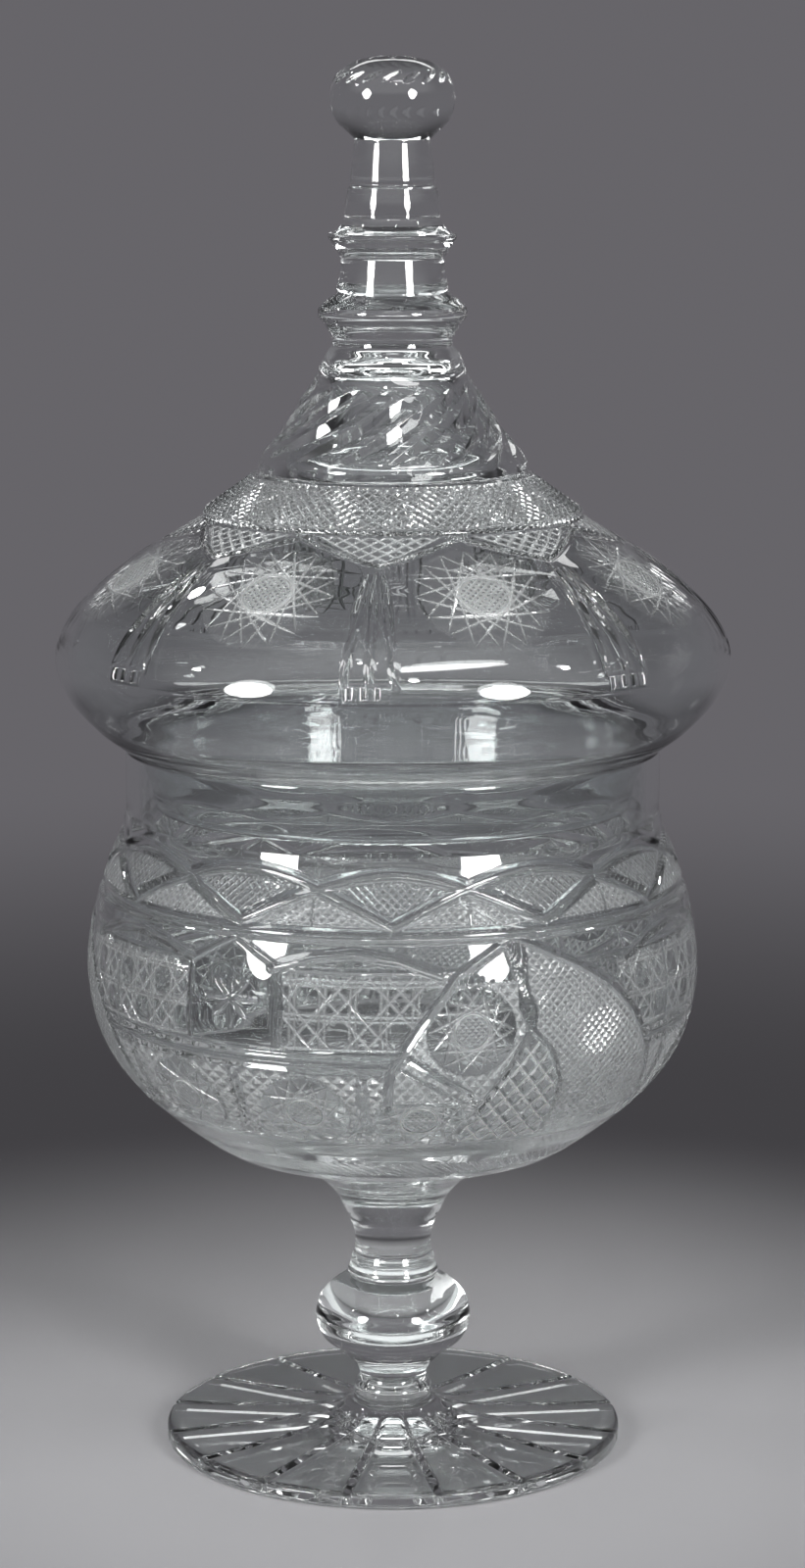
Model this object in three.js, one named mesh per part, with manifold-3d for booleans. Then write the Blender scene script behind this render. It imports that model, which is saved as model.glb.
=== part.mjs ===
// A covered cut glass compote: a goblet-shaped jar on a stemmed foot, and its cover with a tall finial.
// Millimetres, +Z up. The origin is the centre of the foot's underside, and -Y is the front.
import * as THREE from "three";
import { mergeVertices } from "three/addons/utils/BufferGeometryUtils.js";
import Module from "manifold-3d";

const wasm = await Module();
wasm.setup();

// How finely round forms are stepped.
const wideSteps = 48; // foot, bowl and dome
const stemSteps = 24; // stem and finial
const coneSteps = 36; // steeple
const hollowSteps = 32; // inner walls

const seamGap = 0.3; // clear space between fused gathers, and between cover and jar
const overrun = 5; // how far a cutter runs out past the face it opens
const barSides = 6; // of the round bars that cut grooves
const weldDistance = 1e-4; // corners of a lathe's seam closer than this become one

// Foot.
const footRadius = 66.5;
const footEdgeHeight = 4.1;
const footEdgeRound = 0.9;
const footCutCount = 16;
const footCutWidth = 3.4;
const footCutDepth = 1.5;
const footCutInnerRadius = 16;
const footCutInnerZ = 6.6;
const footTopOutline = [
  [42, 5.2],
  [22, 6.8],
  [14, 9],
];
const footTopZ = 11.2;
const footNeckRadius = 11.4;

// Stem, from the foot up.
const stemRingOutline = [
  [10.9, footTopZ + seamGap],
  [11.4, 13.2],
  [11.3, 15],
  [10.3, 16.6],
  [9.7, 17.6],
];
const knopOutline = [
  [9.7, 17.9],
  [10, 19.3],
  [10.9, 21.2],
  [12.9, 23.3],
  [16.4, 26.7],
  [20.1, 29.4],
  [22.1, 32.5],
  [22.7, 35.8],
  [22.4, 38.4],
  [21.4, 41.3],
  [19.2, 44.2],
  [15.6, 46.9],
  [12.4, 48.2],
];
const collarOutline = [
  [12.1, 48.5],
  [13, 49.6],
  [12.7, 51.6],
  [12.2, 53.6],
];
const shankOutline = [
  [12, 53.9],
  [11.3, 56],
  [11.1, 59.2],
  [11.7, 63],
  [12.8, 66],
  [14.6, 69.6],
  [16.8, 73.8],
  [20.6, 77.8],
  [25.2, 81.2],
  [30.5, 84.6],
];
const shankTopZ = 86.2;
const knopCurveSteps = 13;
const shankCurveSteps = 10;

// Bowl: the outer wall from the neck down to the lower edge, then the plain underside.
const rimZ = 206.8;
const neckRadius = 76.4;
const neckFootZ = 187.5;
const bowlWall = [
  [neckRadius, neckFootZ],
  [78.5, 180.6],
  [82.4, 171.2],
  [85.9, 158.9],
  [87.7, 148],
  [87.8, 139.5],
  [85.9, 128.2],
  [81.5, 118],
  [74.6, 109],
  [65.5, 100.6],
  [56.5, 93.8],
  [51.4, 90.6],
];
const bowlUndersideZ = 86.5;
const bowlUndersideRadius = 31.2;
const neckWall = 4;
const rimRound = 1.2;
const bowlHollow = [
  [73, 182],
  [78.6, 168],
  [81.6, 152],
  [81.7, 138],
  [78.2, 125],
  [70.4, 113.6],
  [59.5, 105.4],
  [44, 99.8],
  [24, 97.2],
];
const bowlFloorZ = 96.6;
const bowlWallSteps = 13;
const bowlHollowSteps = 8;

// Ring cuts round the bowl: height, width and depth.
const ringCuts = [
  { z: 167.4, width: 4.4, depth: 1.3 },
  { z: 135.2, width: 2.6, depth: 1 },
  { z: 131.4, width: 2.6, depth: 1 },
];
const ringCutClear = 0.6; // share of a cut's width, within which the wall's own points make way

// Scallops: each arc runs over two bays, so that neighbours cross half way down.
const scallopCount = 12;
const scallopTopZ = 183.2;
const scallopTipZ = 169.6;
const scallopCutRadius = 3.3;
const scallopCutDepth = 1.2;
const scallopSteps = 10;

// Frames of the panels, as [degrees from the front, height] along each cut.
// They come three times round the bowl.
const frameRepeats = 3;
const frameCutRadius = 2.6;
const frameCutDepth = 1;
const frameCuts = [
  // straight side of the big leaf
  { places: [[23.7, 166.2], [11.8, 156.9], [5, 143.8], [-0.5, 130.5]], steps: 5 },
  // bowed side of the big leaf
  {
    places: [[23.7, 166.2], [36.7, 156.6], [44, 149.5], [49.4, 141.5], [55.5, 128.5], [59.5, 115.5]],
    steps: 8,
  },
  // arch over the caned panel
  { places: [[-22, 158.4], [-7, 163.2], [9, 157.2]], steps: 6 },
];

// Cover: dome.
const seatZ = rimZ + seamGap;
const domeWall = [
  [78.4, 207.5],
  [85.9, 213.4],
  [93, 221.8],
  [96.1, 232],
  [92.6, 241.8],
  [84.4, 251],
  [73, 260.2],
  [62.6, 266.3],
  [54.3, 271.4],
];
const bandLowRadius = 53.8;
const bandLowZ = 272.4;
const bandTopRadius = 39.2;
const domeTopZ = 283.9;
const domeHollow = [
  [70, 209.2],
  [80, 212],
  [89.2, 221.4],
  [92.8, 232.2],
  [88.6, 242.4],
  [79.8, 250.8],
  [68.4, 258.2],
  [57, 264.2],
  [46, 271.4],
  [33.6, 281],
];
const flangeRadius = 71.4;
const flangeLowRadius = 68;
const flangeLowZ = 189.5;
const flangeWall = 3.2;
const flangeStraight = 4; // the flange's top stretch, which stands parallel to the neck
const domeMouthRadius = 31;
const domeWallSteps = 14;
const domeHollowSteps = 11;

// Cover: steeple cone.
const coneBaseZ = domeTopZ + seamGap;
const coneOutline = [
  [37.2, coneBaseZ],
  [37.9, 285.4],
  [37.8, 287.2],
  [36.6, 289.6],
  [34.4, 292.3],
  [31.9, 295.2],
  [29.7, 298.2],
  [28, 301.2],
  [25.6, 305],
  [22.9, 309],
  [21.3, 312],
  [18.9, 317.2],
  [17, 319.6],
];
const coneHollow = [
  [29.2, 287.6],
  [23.6, 295.4],
  [19.2, 303.6],
  [16.2, 309.6],
  [12.2, 312.6],
  [6.4, 313.8],
];
const coneHollowTopZ = 314.2;
const fluteCount = 16;
const fluteRadius = 3.2;
const fluteDepth = 1.1;
const fluteLowZ = 289.4;
const fluteHighZ = 307.6;
const fluteTwist = 62; // degrees round the axis from the low end to the high end
const fluteSteps = 3;

// Cover: finial.
const lowerRingOutline = [
  [17, 319.9],
  [16.9, 322],
  [17.3, 323.6],
  [19.4, 325.8],
  [20.7, 327.3],
  [21, 329],
  [20.7, 330.4],
  [18.2, 332.6],
  [16.1, 333.9],
];
const shaftOutline = [
  [15.9, 334.2],
  [15.4, 336.8],
  [14.8, 340],
  [14.4, 343.6],
];
const upperRingOutline = [
  [14.4, 343.9],
  [16.2, 346.8],
  [17.5, 349],
  [18.1, 350.2],
  [16.4, 351.4],
  [14.6, 353],
];
const neckOutline = [
  [14, 353.3],
  [13.5, 356],
  [13.2, 359.4],
  [12.5, 363.5],
  [11.7, 364.4],
  [11.9, 365.5],
  [11.3, 370.6],
  [10.7, 376.6],
];
const knobOutline = [
  [10.5, 376.9],
  [12.4, 378.8],
  [15, 380.9],
  [16.7, 383.6],
  [17.4, 387],
  [17.3, 390.4],
  [16.2, 393.6],
  [13.8, 396.3],
  [9.6, 398.6],
  [4.6, 399.7],
];
const totalHeight = 400;
const knobCutCount = 16;
const knobCutRadius = 1.7;
const knobCutDepth = 0.7;
const knobCutZ = 393.4;
const knobCutLift = 1; // how far the cutter's middle stands over the cut
const knobCutLength = 9;
const knobCutSlant = 38; // degrees
const knobShoulderLean = -35; // degrees
const knobStarCount = 8;
const knobStarCutRadius = 2;
const knobStarCutLength = 24;
const knobCurveSteps = 11;
const knobStarLift = 1.2; // how far the cutter's axis stands over the knob's top

// Points of a smooth curve through the given [radius, height] pairs.
function smooth(pairs, steps) {
  const points = pairs.map(([r, z]) => new THREE.Vector2(r, z));
  return new THREE.SplineCurve(points).getPoints(steps);
}

// Straight outline through the given [radius, height] pairs.
function straight(pairs) {
  return pairs.map(([r, z]) => new THREE.Vector2(r, z));
}

// Turned body, +Z up, from an outline of radii and heights that runs upwards.
function turned(outline, steps) {
  return new THREE.LatheGeometry(outline, steps).rotateX(Math.PI / 2);
}

// Turned body that is solid to the axis at both ends.
function turnedSolid(outline, steps) {
  const low = new THREE.Vector2(0, outline[0].y);
  const high = new THREE.Vector2(0, outline[outline.length - 1].y);
  return turned([low, ...outline, high], steps);
}

// Closed solid that can be cut, from a three.js geometry.
function toSolid(geometry) {
  const bare = geometry.clone();
  bare.deleteAttribute("normal");
  bare.deleteAttribute("uv");
  const merged = mergeVertices(bare, weldDistance);
  const source = merged.index.array;
  const position = merged.attributes.position.array;
  const kept = [];
  for (let i = 0; i < source.length; i += 3) {
    const [a, b, c] = [source[i], source[i + 1], source[i + 2]];
    if (a !== b && b !== c && c !== a) {
      kept.push(a, b, c);
    }
  }
  return new wasm.Manifold(new wasm.Mesh({
    numProp: 3,
    vertProperties: new Float32Array(position),
    triVerts: new Uint32Array(kept),
  }));
}

// three.js geometry of a cut solid.
function toGeometry(solid) {
  const mesh = solid.getMesh();
  const geometry = new THREE.BufferGeometry();
  geometry.setAttribute("position", new THREE.BufferAttribute(new Float32Array(mesh.vertProperties), 3));
  geometry.setIndex(new THREE.BufferAttribute(new Uint32Array(mesh.triVerts), 1));
  geometry.computeVertexNormals();
  return geometry;
}

// The solid less each of the cutters.
function cutAll(solid, cutters) {
  return cutters.reduce((left, cutter) => left.subtract(toSolid(cutter)), solid);
}

// Place of a point at an angle round the axis, counted from the front towards +X.
function onTurn(radius, degrees, z) {
  const angle = THREE.MathUtils.degToRad(degrees);
  return new THREE.Vector3(radius * Math.sin(angle), -radius * Math.cos(angle), z);
}

// Round bar along a list of places, which leaves a hollow groove where it cuts.
function grooveBar(places, radius, steps) {
  const section = new THREE.Shape();
  for (let i = 0; i < barSides; i += 1) {
    const angle = ((i + 0.5) / barSides) * 2 * Math.PI;
    const point = [radius * Math.cos(angle), radius * Math.sin(angle)];
    if (i === 0) {
      section.moveTo(...point);
    } else {
      section.lineTo(...point);
    }
  }
  const path = new THREE.CatmullRomCurve3(places);
  return new THREE.ExtrudeGeometry(section, { steps, bevelEnabled: false, extrudePath: path });
}

// Three-sided bar along a straight line from one place to another, apex down, as deep as it is cut.
function mitreBar(from, to, width, depth) {
  const half = (width / 2) * ((depth + overrun) / depth);
  const section = new THREE.Shape([
    new THREE.Vector2(0, -depth),
    new THREE.Vector2(half, overrun),
    new THREE.Vector2(-half, overrun),
  ]);
  const run = new THREE.Vector3().subVectors(to, from);
  const bar = new THREE.ExtrudeGeometry(section, { depth: run.length(), bevelEnabled: false });
  const along = run.clone().normalize();
  const side = new THREE.Vector3().crossVectors(new THREE.Vector3(0, 0, 1), along).normalize();
  const over = new THREE.Vector3().crossVectors(along, side);
  const turn = new THREE.Matrix4().makeBasis(side, over, along).setPosition(from);
  return bar.applyMatrix4(turn);
}

// Radius of an outer wall at a height, read off its outline.
function radiusAt(outline, z) {
  for (let i = 1; i < outline.length; i += 1) {
    const [a, b] = [outline[i - 1], outline[i]];
    if ((a.y - z) * (b.y - z) <= 0 && a.y !== b.y) {
      return a.x + ((b.x - a.x) * (z - a.y)) / (b.y - a.y);
    }
  }
  return outline[outline.length - 1].x;
}

// Outer wall with a V-shaped ring cut at each given height. The wall runs upwards.
function withRingCuts(wall, cuts) {
  const clear = wall.filter((p) => cuts.every((c) => Math.abs(p.y - c.z) > c.width * ringCutClear));
  const extra = cuts.flatMap((c) => [
    new THREE.Vector2(radiusAt(wall, c.z - c.width / 2), c.z - c.width / 2),
    new THREE.Vector2(radiusAt(wall, c.z) - c.depth, c.z),
    new THREE.Vector2(radiusAt(wall, c.z + c.width / 2), c.z + c.width / 2),
  ]);
  return [...clear, ...extra].sort((p, q) => p.y - q.y);
}

function makeFoot() {
  const outline = [
    new THREE.Vector2(0, 0),
    new THREE.Vector2(footRadius - footEdgeRound, 0),
    new THREE.Vector2(footRadius, footEdgeRound),
    new THREE.Vector2(footRadius, footEdgeHeight - footEdgeRound),
    new THREE.Vector2(footRadius - footEdgeRound, footEdgeHeight),
    ...straight(footTopOutline),
    new THREE.Vector2(footNeckRadius, footTopZ),
    new THREE.Vector2(0, footTopZ),
  ];
  const cutters = [];
  for (let i = 0; i < footCutCount; i += 1) {
    const degrees = ((i + 0.5) * 360) / footCutCount;
    const from = onTurn(footCutInnerRadius, degrees, footCutInnerZ + footCutDepth);
    const to = onTurn(footRadius + overrun, degrees, footEdgeHeight);
    cutters.push(mitreBar(from, to, footCutWidth, footCutDepth));
  }
  return toGeometry(cutAll(toSolid(turned(outline, wideSteps)), cutters));
}

function makeTurnedPiece(pairs, curveSteps) {
  const outline = curveSteps > 0 ? smooth(pairs, curveSteps) : straight(pairs);
  return turnedSolid(outline, stemSteps);
}

function makeShank() {
  const curve = smooth(shankOutline, shankCurveSteps);
  return turnedSolid([...curve, new THREE.Vector2(bowlUndersideRadius, shankTopZ)], stemSteps);
}

// Places on a wall for the axis of a round bar that cuts to a depth, from [degrees, height] pairs.
function onWall(wall, pairs, turnDegrees, barRadius, depth) {
  return pairs.map(([degrees, z]) => onTurn(radiusAt(wall, z) + barRadius - depth, turnDegrees + degrees, z));
}

// One scallop: a half wave of a cosine from tip to tip, over twice the bay.
function scallopPairs() {
  const bay = 360 / scallopCount;
  const pairs = [];
  for (let i = 0; i <= scallopSteps; i += 1) {
    const across = (i / scallopSteps) * 2 - 1;
    const z = scallopTipZ + (scallopTopZ - scallopTipZ) * Math.cos((across * Math.PI) / 2);
    pairs.push([across * bay, z]);
  }
  return pairs;
}

function makeBowl() {
  const wall = smooth([...bowlWall].reverse(), bowlWallSteps);
  const outline = [
    new THREE.Vector2(0, bowlUndersideZ),
    new THREE.Vector2(bowlUndersideRadius, bowlUndersideZ),
    ...withRingCuts(wall, ringCuts),
    new THREE.Vector2(neckRadius, rimZ - rimRound),
    new THREE.Vector2(neckRadius - rimRound, rimZ),
    new THREE.Vector2(0, rimZ),
  ];
  const hollowWall = smooth([...bowlHollow].reverse(), bowlHollowSteps);
  const aboveRim = rimZ + overrun;
  const hollow = [
    new THREE.Vector2(0, bowlFloorZ),
    ...hollowWall,
    new THREE.Vector2(neckRadius - neckWall, neckFootZ),
    new THREE.Vector2(neckRadius - neckWall, aboveRim),
    new THREE.Vector2(0, aboveRim),
  ];
  const cutters = [];
  for (let i = 0; i < scallopCount; i += 1) {
    const places = onWall(wall, scallopPairs(), (i * 360) / scallopCount, scallopCutRadius, scallopCutDepth);
    cutters.push(grooveBar(places, scallopCutRadius, scallopSteps));
  }
  for (let i = 0; i < frameRepeats; i += 1) {
    for (const cut of frameCuts) {
      const places = onWall(wall, cut.places, (i * 360) / frameRepeats, frameCutRadius, frameCutDepth);
      cutters.push(grooveBar(places, frameCutRadius, cut.steps));
    }
  }
  const cut = cutAll(toSolid(turned(outline, wideSteps)), cutters);
  return toGeometry(cut.subtract(toSolid(turned(hollow, hollowSteps))));
}

function makeDome() {
  const wall = smooth(domeWall, domeWallSteps);
  const outline = [
    new THREE.Vector2(0, flangeLowZ),
    new THREE.Vector2(flangeLowRadius, flangeLowZ),
    new THREE.Vector2(flangeRadius, seatZ - flangeStraight),
    new THREE.Vector2(flangeRadius, seatZ),
    new THREE.Vector2(neckRadius, seatZ),
    ...wall,
    new THREE.Vector2(bandLowRadius, bandLowZ),
    new THREE.Vector2(bandTopRadius, domeTopZ),
    new THREE.Vector2(0, domeTopZ),
  ];
  const below = flangeLowZ - overrun;
  const above = domeTopZ + overrun;
  const hollow = [
    new THREE.Vector2(0, below),
    new THREE.Vector2(flangeLowRadius - flangeWall, below),
    new THREE.Vector2(flangeLowRadius - flangeWall, flangeLowZ),
    new THREE.Vector2(flangeRadius - flangeWall, seatZ - flangeStraight),
    ...smooth(domeHollow, domeHollowSteps),
    new THREE.Vector2(domeMouthRadius, domeTopZ),
    new THREE.Vector2(domeMouthRadius, above),
    new THREE.Vector2(0, above),
  ];
  const solid = toSolid(turned(outline, wideSteps));
  return toGeometry(solid.subtract(toSolid(turned(hollow, hollowSteps))));
}

// One flute of the steeple, a groove that climbs and turns round the cone.
function flutePlaces(wall, startDegrees) {
  const places = [];
  for (let i = 0; i <= fluteSteps; i += 1) {
    const along = i / fluteSteps;
    const z = fluteLowZ + (fluteHighZ - fluteLowZ) * along;
    const rise = 4 * along * (1 - along); // the cut is deepest half way and runs out at both ends
    const radius = radiusAt(wall, z) + fluteRadius - fluteDepth * rise;
    places.push(onTurn(radius, startDegrees + fluteTwist * along, z));
  }
  return places;
}

function makeCone() {
  const wall = straight(coneOutline);
  const below = coneBaseZ - overrun;
  const hollow = [
    new THREE.Vector2(0, below),
    new THREE.Vector2(domeMouthRadius, below),
    new THREE.Vector2(domeMouthRadius, coneBaseZ),
    ...straight(coneHollow),
    new THREE.Vector2(0, coneHollowTopZ),
  ];
  const cutters = [];
  for (let i = 0; i < fluteCount; i += 1) {
    const places = flutePlaces(wall, (i * 360) / fluteCount);
    cutters.push(grooveBar(places, fluteRadius, fluteSteps));
  }
  const cut = cutAll(toSolid(turnedSolid(wall, coneSteps)), cutters);
  return toGeometry(cut.subtract(toSolid(turned(hollow, hollowSteps))));
}

function makeKnob() {
  const wall = smooth(knobOutline, knobCurveSteps);
  const cutters = [];
  for (let i = 0; i < knobCutCount; i += 1) {
    const degrees = (i * 360) / knobCutCount;
    const centreRadius = radiusAt(wall, knobCutZ) + knobCutRadius - knobCutDepth;
    const slant = THREE.MathUtils.degToRad(knobCutSlant);
    const bar = new THREE.CylinderGeometry(knobCutRadius, knobCutRadius, knobCutLength, barSides);
    bar.rotateX(Math.PI / 2).rotateY(slant);
    bar.rotateX(THREE.MathUtils.degToRad(knobShoulderLean));
    bar.translate(0, -centreRadius, knobCutZ + knobCutLift);
    bar.rotateZ(THREE.MathUtils.degToRad(degrees));
    cutters.push(bar);
  }
  for (let i = 0; i < knobStarCount / 2; i += 1) {
    const bar = new THREE.CylinderGeometry(knobStarCutRadius, knobStarCutRadius, knobStarCutLength, barSides);
    bar.translate(0, 0, totalHeight + knobStarLift);
    bar.rotateZ((i * 2 * Math.PI) / knobStarCount);
    cutters.push(bar);
  }
  const outline = [new THREE.Vector2(0, wall[0].y), ...wall, new THREE.Vector2(0, totalHeight)];
  const body = turned(outline, stemSteps);
  return toGeometry(cutAll(toSolid(body), cutters));
}

const clearGlass = { color: 0xe6ecea, roughness: 0.03, metalness: 0 };

// One named sub-part in its own clear glass.
function piece(name, geometry) {
  const mesh = new THREE.Mesh(geometry, new THREE.MeshStandardMaterial(clearGlass));
  mesh.name = name;
  return mesh;
}

const jar = new THREE.Group();
jar.add(
  piece("foot", makeFoot()),
  piece("stem_ring", makeTurnedPiece(stemRingOutline, 0)),
  piece("stem_knop", makeTurnedPiece(knopOutline, knopCurveSteps)),
  piece("stem_collar", makeTurnedPiece(collarOutline, 0)),
  piece("stem_shank", makeShank()),
  piece("bowl", makeBowl()),
);

const cover = new THREE.Group();
cover.add(
  piece("cover_dome", makeDome()),
  piece("cover_cone", makeCone()),
  piece("finial_lower_ring", makeTurnedPiece(lowerRingOutline, 0)),
  piece("finial_shaft", makeTurnedPiece(shaftOutline, 0)),
  piece("finial_upper_ring", makeTurnedPiece(upperRingOutline, 0)),
  piece("finial_neck", makeTurnedPiece(neckOutline, 0)),
  piece("finial_knob", makeKnob()),
);

const compote = new THREE.Group();
compote.add(jar, cover);

export default compote;
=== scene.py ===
import math

import bpy
import numpy as np
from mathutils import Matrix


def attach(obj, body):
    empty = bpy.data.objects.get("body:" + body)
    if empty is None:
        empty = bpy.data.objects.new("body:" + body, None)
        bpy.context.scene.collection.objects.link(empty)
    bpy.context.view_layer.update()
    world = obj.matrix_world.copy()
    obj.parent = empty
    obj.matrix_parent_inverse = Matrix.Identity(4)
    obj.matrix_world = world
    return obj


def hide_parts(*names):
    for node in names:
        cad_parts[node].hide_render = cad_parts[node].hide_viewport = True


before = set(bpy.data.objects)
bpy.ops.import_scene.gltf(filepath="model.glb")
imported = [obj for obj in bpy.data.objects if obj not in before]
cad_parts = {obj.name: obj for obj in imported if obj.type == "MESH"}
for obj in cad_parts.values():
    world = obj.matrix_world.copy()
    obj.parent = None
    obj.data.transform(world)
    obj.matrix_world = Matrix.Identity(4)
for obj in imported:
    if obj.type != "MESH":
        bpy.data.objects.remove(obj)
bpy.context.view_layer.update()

# Covered cut glass compote. The shapes are worked out in millimetres and put into the meshes in metres.
# Angles round the axis count from the front (-Y) towards +X.
mm = 0.001
seam = 0.012  # half of the hairline between two fused gathers
polished, fused, wheelCut = 0, 1, 2  # places of a piece's materials
caning, hobstar, openHatch, fullHatch = 1, 2, 3, 4  # numbers of the wheel patterns
panelRepeats = 3  # the bowl's panels round the axis
outerStep, innerStep = 0.2, 0.3  # steps of the smoothed walls
waist = dict(  # radius and height of each fused joint
    foot=(11.1, 11.35), ring=(9.7, 17.75), knop=(12.2, 48.35), collar=(12.1, 53.75), shank=(31.0, 86.35),
    cone=(37.2, 284.05), coneTop=(17.0, 319.75), lowerRing=(16.0, 334.05), shaft=(14.4, 343.75),
    upperRing=(14.2, 353.15), neck=(10.6, 376.75))


# Length along a line from its start: the running sum of the distances between its points.
def lengthAlong(line):
    return np.concatenate([[0], np.cumsum(np.hypot(*np.diff(line, axis=0).T))])


# Line taken again at equal steps of its length.
def evenSteps(points, step):
    p = np.array(points, float)
    along = lengthAlong(p)
    at = np.linspace(0, along[-1], max(2, int(round(along[-1] / step)) + 1))
    return np.column_stack([np.interp(at, along, p[:, 0]), np.interp(at, along, p[:, 1])])


# Curve through points, taken again at equal steps of its length. It is a Catmull-Rom spline: p(t) = half of
# (2b + (c-a)t + (2a-5b+4c-d)t^2 + (3b-a-3c+d)t^3).
def smoothLine(points, step, parts=24):
    p = np.array(points, float)
    p = np.vstack([2 * p[:1] - p[1:2], p, 2 * p[-1:] - p[-2:-1]])
    a, b, c, d = (p[i:len(p) - 3 + i, None, :] for i in range(4))
    t = np.linspace(0, 1, parts, endpoint=False)[None, :, None]
    curve = 0.5 * (2 * b + (c - a) * t + (2 * a - 5 * b + 4 * c - d) * t**2 + (3 * b - a - 3 * c + d) * t**3)
    return evenSteps(np.vstack([curve.reshape(-1, 2), p[-2:-1]]), step)


# Radius of a wall at a height, between the two points of its line beside it.
def radiusAt(wall, z):
    return np.interp(z, wall[:, 1], wall[:, 0])


# Stretch of a wall between two heights at equal steps, without its points closer than clear to an end. One
# more point near each end lets the shading at a seam follow the true slope there.
def stretch(wall, lowZ, highZ, step, clear=0.01, near=0.03):
    inside = wall[(wall[:, 1] > lowZ + clear) & (wall[:, 1] < highZ - clear)]
    ends = [[[radiusAt(wall, z), z]] for z in (lowZ, highZ)]
    line = evenSteps(np.vstack([ends[0], inside, ends[1]]), step)
    ways = np.array([line[1] - line[0], line[-2] - line[-1]])
    more = line[[0, -1]] + ways / np.hypot(ways[:, :1], ways[:, 1:]) * near
    return np.vstack([line[:1], more[:1], line[1:-1], more[1:], line[-1:]])


# Inner wall as a smoothed line, from below upwards.
def innerWall(points):
    return smoothLine(sorted(points, key=lambda p: p[1]), innerStep)


# Stretch of an inner wall, from above downwards.
def innerLine(points, lowZ, highZ, step, clear=0.05):
    return stretch(innerWall(points), lowZ, highZ, step, clear)[::-1]


# Part of a body: a turned surface with its material and the work on its points. A row is a ring, with
# x = r sin(a) and y = -r cos(a). A cut moves points inwards along the line's normal, a twist turns a row.
def turned(line, columns, kind=polished, cut=0.0, twist=0.0, work=None):
    line = np.array(line, float)
    along = np.gradient(line, axis=0) if len(line) > 1 else np.array([[0.0, 1.0]])
    along /= np.maximum(np.hypot(along[:, :1], along[:, 1:]), 1e-9)
    angle = np.linspace(0, 2 * np.pi, columns, endpoint=False)[None, :] + twist
    r = line[:, :1] - along[:, 1:] * cut
    z = line[:, 1:] + along[:, :1] * cut
    r, z, angle = np.broadcast_arrays(r, z, angle)
    return np.stack([r * np.sin(angle), -r * np.cos(angle), z], axis=-1), kind, work


# Part of a body: flat rings of a fused joint at one height.
def flatRing(radii, z, columns, twist=0.0):
    return turned(np.column_stack([radii, np.full(len(radii), z)]), columns, fused, 0.0, twist)


# Part of a body: one point on the axis, which closes it.
def pole(z, kind):
    return np.array([[[0.0, 0.0, z]]]), kind, None


# Faces between two rings of point numbers, whose counts are equal, or one is a whole number of times the
# other. Then each step of the fine ring makes a triangle with its nearest coarse point, and each step of the
# coarse ring one with the fine point half way along it.
def ringFaces(low, high):
    if len(low) == len(high):
        return [np.column_stack([low, np.roll(low, -1), np.roll(high, -1), high])]
    lowIsFine = len(low) > len(high)
    fine, coarse = (low, high) if lowIsFine else (high, low)
    times = len(fine) // len(coarse)
    apex = coarse[((np.arange(len(fine)) + times // 2 + times % 2) // times) % len(coarse)]
    mid = fine[(np.arange(len(coarse)) * times + times // 2) % len(fine)]
    nextFine, nextCoarse = np.roll(fine, -1), np.roll(coarse, -1)
    fan = [fine, nextFine, apex] if lowIsFine else [apex, nextFine, fine]
    wedge = [mid, nextCoarse, coarse] if lowIsFine else [coarse, nextCoarse, mid]
    return [np.column_stack(faces) for faces in ((fan, wedge) if len(coarse) > 1 else (fan,))]


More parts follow.
